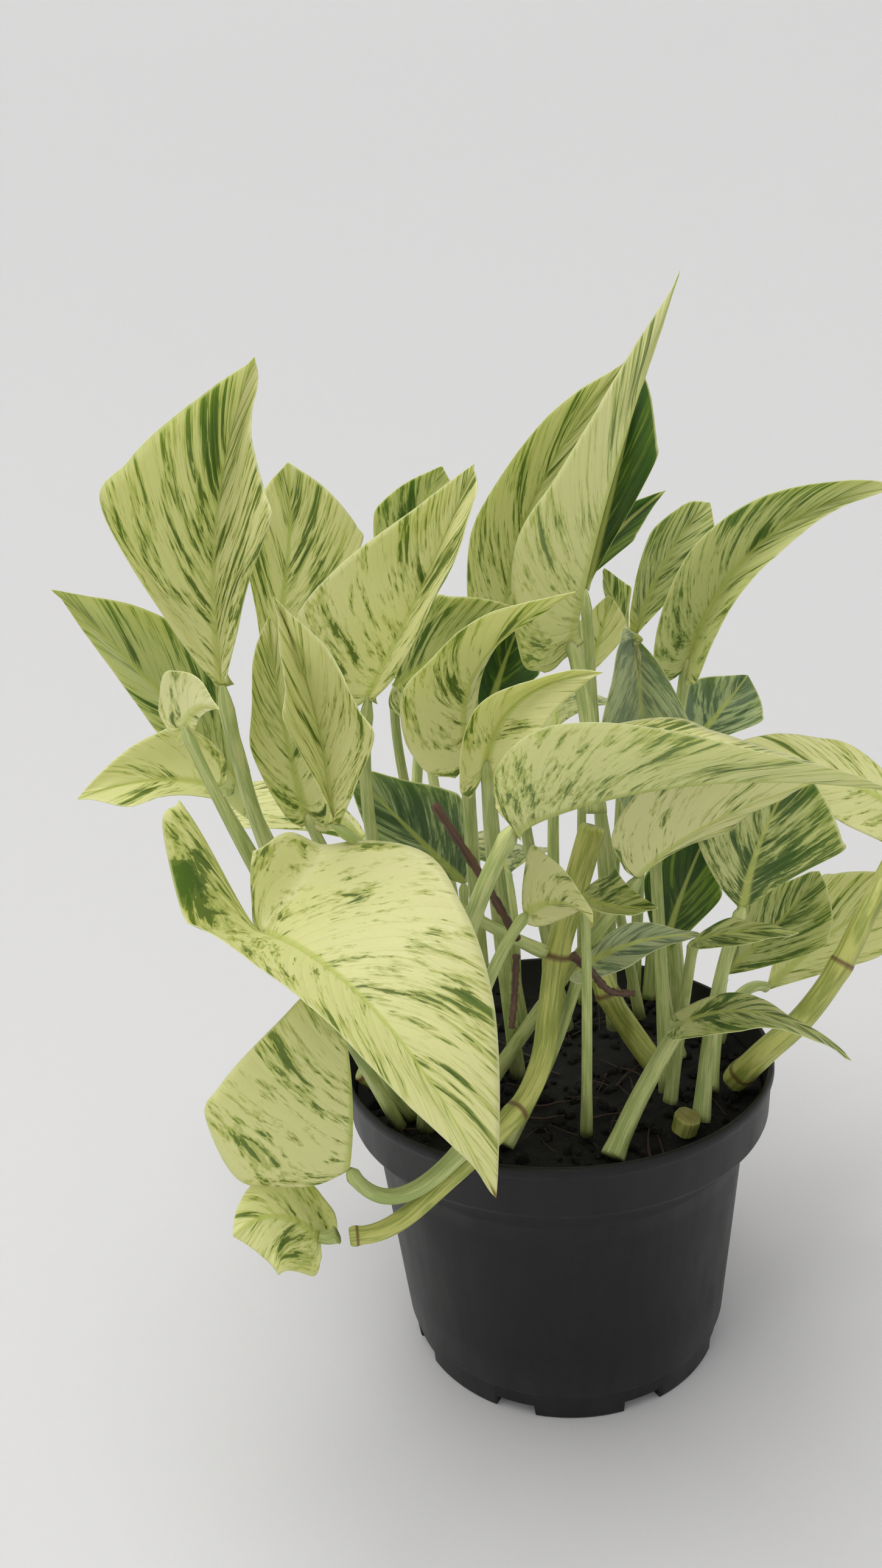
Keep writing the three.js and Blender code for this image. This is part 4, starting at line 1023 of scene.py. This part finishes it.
def buildDrainFloor():
    p, d = potShape, drainFloor
    low, high = p["floorLift"] + potLow.z, p["floorLift"] + p["floorThick"] + potLow.z
    around = 96
    step = around // d["holes"]
    outer = [(p["discRadius"], 2 * math.pi * i / around) for i in range(around)]
    points, faces = [], []

    def addRing(places, z):
        first = len(points)
        points.extend((r * math.cos(a), r * math.sin(a), z) for r, a in places)
        return first

    def holeEdge(centreTurn):
        edge = []
        for i in range(step * 2):
            turn = math.pi * i / step
            x = d["holeCircle"] + d["holeRadius"] * math.cos(turn)
            y = d["holeRadius"] * math.sin(turn)
            edge.append((math.hypot(x, y), math.atan2(y, x) + centreTurn))
        return edge

    inner = [(d["padRadius"], a) for _, a in outer]
    rings = {}
    for side, z in (("low", low), ("high", high)):
        rings[side] = (addRing(outer, z), addRing(inner, z))
        rings[side + "Holes"] = []
        for h in range(d["holes"]):
            rings[side + "Holes"].append(addRing(holeEdge(2 * math.pi * (h + 0.5) / d["holes"]), z))
    for side, flip in (("low", True), ("high", False)):
        outerFirst, innerFirst = rings[side]
        for h in range(d["holes"]):
            ring = rings[side + "Holes"][h]
            # each sector between two spokes is a face with a round hole, filled strip by strip
            sector = [outerFirst + (h * step + i) % around for i in range(step + 1)]
            back = [innerFirst + (h * step + i) % around for i in range(step, -1, -1)]
            edge = sector + back
            hole = [ring + i for i in range(step * 2)]
            faces.extend(bridgeLoops(points, edge, hole, flip))
    for i in range(around):
        j = (i + 1) % around
        faces.append((rings["low"][0] + i, rings["low"][0] + j, rings["high"][0] + j, rings["high"][0] + i))
    for h in range(d["holes"]):
        a, b = rings["lowHoles"][h], rings["highHoles"][h]
        for i in range(step * 2):
            j = (i + 1) % (step * 2)
            faces.append((a + j, a + i, b + i, b + j))
    foot = addRing(inner, potLow.z + 0.0004)
    sole = addRing([(r - 0.0004, a) for r, a in inner], potLow.z)
    for i in range(around):
        j = (i + 1) % around
        faces.append((rings["low"][1] + j, rings["low"][1] + i, foot + i, foot + j))
        faces.append((foot + j, foot + i, sole + i, sole + j))
    faces.append(tuple(sole + i for i in range(around - 1, -1, -1)))
    faces.append(tuple(rings["high"][1] + i for i in range(around)))
    floor = makeObject("potDrainFloor", points, faces, [potPlastic], smooth=False)
    putOnRoot(floor, "pot_plastic", "pot")


def bridgeLoops(points, outerLoop, innerLoop, flip):
    outerAt = np.array([points[i] for i in outerLoop])
    innerAt = np.array([points[i] for i in innerLoop])
    middle = innerAt.mean(axis=0)

    def turnOf(at):
        return np.arctan2(at[:, 1] - middle[1], at[:, 0] - middle[0])

    outerOrder = np.argsort(turnOf(outerAt))
    innerOrder = np.argsort(turnOf(innerAt))
    outerTurns, innerTurns = turnOf(outerAt)[outerOrder], turnOf(innerAt)[innerOrder]
    faces = []
    i = j = 0
    n, m = len(outerLoop), len(innerLoop)
    while i < n or j < m:
        a, b = outerLoop[outerOrder[i % n]], innerLoop[innerOrder[j % m]]
        nextOuter = outerTurns[(i + 1) % n] + (2 * math.pi if i + 1 >= n else 0)
        nextInner = innerTurns[(j + 1) % m] + (2 * math.pi if j + 1 >= m else 0)
        if j >= m or (i < n and nextOuter <= nextInner):
            face = (a, outerLoop[outerOrder[(i + 1) % n]], b)
            i += 1
        else:
            face = (a, innerLoop[innerOrder[(j + 1) % m]], b)
            j += 1
        faces.append(face[::-1] if flip else face)
    return faces


potPlastic = potMaterial()
buildPot()
buildDrainFloor()
print("pot made")


# dark peat with crumbs, bark bits and fine root ends; the peat and crumbs are coloured darker than the soil
# itself, as painted shade from the leaves above it
soilDetail = {
    "rings": 46, "turns": 150, "bump": 0.0016, "crumbs": 420, "crumbSize": (0.0005, 0.0019),
    "fibres": 70, "fibreLength": (0.006, 0.022), "fibreRadius": 0.00025,
    # each wave of the ground: how fine it is, its turn and its phase
    "waves": ((95, 0.4, 0.3), (160, 1.9, 1.7), (260, 2.9, 4.1), (420, 0.9, 2.2), (700, 2.3, 5.0)),
    # radius and height of the ball of soil below its top edge, from the collar down to the floor
    "ball": ((0.051, 0.071), (0.0443, 0.009), (0.0428, 0.0055)),
}


def soilMaterial(name, dark, light):
    material, tree = startMaterial(name)
    place = node(tree, "ShaderNodeTexCoord").outputs["Object"]
    lumps = noise(tree, place, 260.0, 6.0, 0.7)
    grit = noise(tree, place, 1500.0, 3.0, 0.6)
    color = mixColor(tree, ramp(tree, lumps, 0.42, 0.75), tint(*dark), tint(*light))
    color = mixColor(tree, ramp(tree, grit, 0.66, 0.74, 0.0, 0.5), color, tint(48, 34, 24))
    height = calc(tree, "ADD", lumps, calc(tree, "MULTIPLY", grit, 0.4))
    finishMaterial(tree, {
        "Base Color": color, "Roughness": ramp(tree, grit, 0.3, 0.7, 0.82, 0.98),
        "Normal": bumpFrom(tree, height, 0.0012, 0.9),
    })
    return material


def rolling(x, y):  # a soft uneven ground made of a few crossed waves
    ground = 0
    for size, turn, phase in soilDetail["waves"]:
        run = x * math.cos(turn) + y * math.sin(turn)
        cross = y * math.cos(turn) - x * math.sin(turn)
        ground += math.sin(run * size + phase) * math.cos(cross * size * 0.8 + phase * 2) * 70 / size
    return ground


def buildSoil():
    d = soilDetail
    points, faces = [(0, 0, soilTop)], []
    for i in range(1, d["rings"] + 1):
        r = soilRadius * i / d["rings"]
        for k in range(d["turns"]):
            a = 2 * math.pi * k / d["turns"]
            x, y = r * math.cos(a), r * math.sin(a)
            edge = smoothStep((soilRadius - r) / 0.006)
            points.append((x, y, soilTop - 0.0004 + d["bump"] * rolling(x, y) * edge))
    turns = d["turns"]
    for k in range(turns):
        faces.append((0, 1 + k, 1 + (k + 1) % turns))
    for i in range(d["rings"] - 1):
        for k in range(turns):
            a, b = 1 + i * turns + k, 1 + i * turns + (k + 1) % turns
            faces.append((a, a + turns, b + turns, b))
    # the ball of soil goes on down inside the wall
    last = 1 + (d["rings"] - 1) * turns
    below = [(soilRadius - 0.0006, soilTop - 0.004), *d["ball"]]
    for r, z in below:
        start = len(points)
        for k in range(turns):
            a = 2 * math.pi * k / turns
            points.append((r * math.cos(a), r * math.sin(a), z))
        for k in range(turns):
            j = (k + 1) % turns
            faces.append((last + k, start + k, start + j, last + j))
        last = start
    faces.append(tuple(last + k for k in range(turns - 1, -1, -1)))
    ground = makeObject("soilBall", points, faces, [peat])
    putOnRoot(ground, "potting_soil", "soil")


def lumpMesh(centre, size, stretchBy, turn):  # a small uneven pebble of 42 corners
    points, faces = [], []
    phi = (1 + 5**0.5) / 2
    corners = [(-1, phi, 0), (1, phi, 0), (-1, -phi, 0), (1, -phi, 0), (0, -1, phi), (0, 1, phi),
               (0, -1, -phi), (0, 1, -phi), (phi, 0, -1), (phi, 0, 1), (-phi, 0, -1), (-phi, 0, 1)]
    triangles = [(0, 11, 5), (0, 5, 1), (0, 1, 7), (0, 7, 10), (0, 10, 11), (1, 5, 9), (5, 11, 4),
                 (11, 10, 2), (10, 7, 6), (7, 1, 8), (3, 9, 4), (3, 4, 2), (3, 2, 6), (3, 6, 8),
                 (3, 8, 9), (4, 9, 5), (2, 4, 11), (6, 2, 10), (8, 6, 7), (9, 8, 1)]
    corners = [np.array(c) / math.hypot(1, phi) for c in corners]
    halfway = {}

    def between(a, b):
        key = (min(a, b), max(a, b))
        if key not in halfway:
            corners.append(unit(corners[a] + corners[b]))
            halfway[key] = len(corners) - 1
        return halfway[key]

    for a, b, c in triangles:
        ab, bc, ca = between(a, b), between(b, c), between(c, a)
        faces += [(a, ab, ca), (b, bc, ab), (c, ca, bc), (ab, bc, ca)]
    cosTurn, sinTurn = math.cos(turn), math.sin(turn)
    for corner in corners:
        dent = 1 + 0.16 * math.sin(corner[0] * 5 + turn * 3) * math.cos(corner[1] * 4 + turn)
        x, y, z = corner * stretchBy * size * dent
        points.append(centre + np.array([x * cosTurn - y * sinTurn, x * sinTurn + y * cosTurn, z]))
    return points, faces


def buildCrumbs():
    d = soilDetail
    points, faces = [], []
    for _ in range(d["crumbs"]):
        r, a = (soilRadius - 0.002) * math.sqrt(rng.uniform(0, 1)), rng.uniform(0, 2 * math.pi)
        x, y = r * math.cos(a), r * math.sin(a)
        size = rng.uniform(*d["crumbSize"])
        z = soilTop + d["bump"] * rolling(x, y) + size * 0.1
        shape = rng.uniform(0.6, 1.3, 3)
        lump, sides = lumpMesh(np.array([x, y, z]), size, shape, rng.uniform(0, 6))
        faces += [tuple(i + len(points) for i in face) for face in sides]
        points += lump
    crumbs = makeObject("soilCrumbs", points, faces, [barkPaintedShade], smooth=False)
    putOnRoot(crumbs, "potting_soil", "soil")


def buildFibres():
    d = soilDetail
    points, faces, places = [], [], []
    for _ in range(d["fibres"]):
        r, a = (soilRadius - 0.008) * math.sqrt(rng.uniform(0, 1)), rng.uniform(0, 2 * math.pi)
        x, y = r * math.cos(a), r * math.sin(a)
        length, turn = rng.uniform(*d["fibreLength"]), rng.uniform(0, 6.28)
        bow = rng.uniform(-0.4, 0.4)
        route = []
        for s in np.linspace(0, 1, 9):
            px = x + length * (s - 0.5) * math.cos(turn) - bow * length * s * (1 - s) * math.sin(turn)
            py = y + length * (s - 0.5) * math.sin(turn) + bow * length * s * (1 - s) * math.cos(turn)
            out = math.hypot(px, py)
            if out > soilRadius - 0.003:
                px, py = px * (soilRadius - 0.003) / out, py * (soilRadius - 0.003) / out
            route.append((px, py, soilTop + d["bump"] * rolling(px, py) + 0.0006 + 0.0015 * s * (1 - s)))
        radii = d["fibreRadius"] * rng.uniform(0.7, 1.8) * (1 - 0.6 * np.linspace(0, 1, 9))
        tube, sides, place = tubeMesh(np.array(route), radii, 6)
        faces += [tuple(i + len(points) for i in face) for face in sides]
        points += tube
        places.append(place)
    place = np.concatenate(places)
    fibres = makeObject("soilFibres", points, faces, [fibreSkin], None,
                        {"stalkPlace": place, "stalkLook": np.zeros_like(place)})
    putOnRoot(fibres, "root_brown", "soil")


# the peat and bark crumb colours are partly real dark soil and partly painted shade, set darker for the
# shade the leaves cast on the soil
peat = soilMaterial("peat", (4, 3, 2), (11, 8, 6))
barkPaintedShade = soilMaterial("bark_crumb_painted_shade", (8, 6, 4), (20, 15, 10))
fibreSkin = stalkMaterial("fibre_skin", (74, 48, 32), (44, 28, 20))
buildSoil()
buildCrumbs()
buildFibres()
print("soil filled")


# pale studio: a round floor that curves up to a low wall on every side
studio = {
    "floorRadius": 0.28, "wallRadius": 0.85, "wallHeight": 1.05, "paint": (227, 227, 228),
    "world": (1.0, 0.99, 0.975), "worldStrength": 0.5,
    "cameraAt": (-0.0274, -0.2994, 0.2504), "pitch": 15.83, "roll": -3.7, "lens": 26.941, "sensor": 36,
}


def buildFloor():
    s = studio
    profile = [(r, 0.0) for r in (0.08, 0.16, 0.22, s["floorRadius"])]
    reach = s["wallRadius"] - s["floorRadius"]
    for i in range(1, 13):
        a = math.pi / 2 * i / 12
        profile.append((s["floorRadius"] + reach * math.sin(a), reach * (1 - math.cos(a))))
    profile.append((s["wallRadius"], s["wallHeight"]))
    turns = 128
    points, faces = [(0, 0, potLow.z)], []
    for r, z in profile:
        for k in range(turns):
            a = 2 * math.pi * k / turns
            points.append((r * math.cos(a), r * math.sin(a), z + potLow.z))
    for k in range(turns):
        faces.append((0, 1 + k, 1 + (k + 1) % turns))
    for i in range(len(profile) - 1):
        for k in range(turns):
            a, b = 1 + i * turns + k, 1 + i * turns + (k + 1) % turns
            faces.append((a, a + turns, b + turns, b))
    material, tree = startMaterial("studio_paper")
    place = node(tree, "ShaderNodeTexCoord").outputs["Object"]
    grain = noise(tree, place, 900.0, 2.0)
    low = tint(*[c - 3 for c in s["paint"]])
    finishMaterial(tree, {
        "Base Color": mixColor(tree, grain, low, tint(*s["paint"])), "Roughness": 0.7,
        "Normal": bumpFrom(tree, grain, 0.0001, 0.2),
    })
    floor = makeObject("studioFloor", points, faces, [material])


def addSoftLight(name, at, size, power, color):
    data = bpy.data.lights.new(name, "AREA")
    data.shape = "SQUARE"
    data.size = size
    data.energy = power
    data.color = color
    lamp = bpy.data.objects.new(name, data)
    lamp.location = at
    toPlant = Vector((0, 0, 0.12)) - Vector(at)
    lamp.rotation_euler = toPlant.to_track_quat("-Z", "Y").to_euler()
    bpy.context.collection.objects.link(lamp)


def addCamera():
    s = studio
    pitch, roll = math.radians(s["pitch"]), math.radians(s["roll"])
    ahead = Vector((0, math.cos(pitch), -math.sin(pitch)))
    right, up = Vector((1, 0, 0)), Vector((0, math.sin(pitch), math.cos(pitch)))
    turnedRight = right * math.cos(roll) + up * math.sin(roll)
    turnedUp = up * math.cos(roll) - right * math.sin(roll)
    data = bpy.data.cameras.new("plantCamera")
    data.sensor_width = s["sensor"]
    data.lens = s["lens"]
    data.clip_start, data.clip_end = 0.01, 20
    camera = bpy.data.objects.new("plantCamera", data)
    camera.location = s["cameraAt"]
    camera.rotation_mode = "QUATERNION"
    axes = [turnedRight, turnedUp, -ahead]
    rows = [[axis[i] for axis in axes] for i in range(3)]
    camera.rotation_quaternion = Matrix(rows).to_quaternion()
    bpy.context.collection.objects.link(camera)
    bpy.context.scene.camera = camera


buildFloor()
addSoftLight("overheadSoftbox", (-0.25, -0.15, 1.2), 0.8, 6.9, (1.0, 0.99, 0.97))
addCamera()
world = bpy.data.worlds.new("studioAir")
world.use_nodes = True
background = world.node_tree.nodes["Background"]
background.inputs[0].default_value = (*studio["world"], 1)
background.inputs[1].default_value = studio["worldStrength"]
bpy.context.scene.world = world
bpy.context.scene.view_settings.view_transform = "Standard"
print("studio lit")
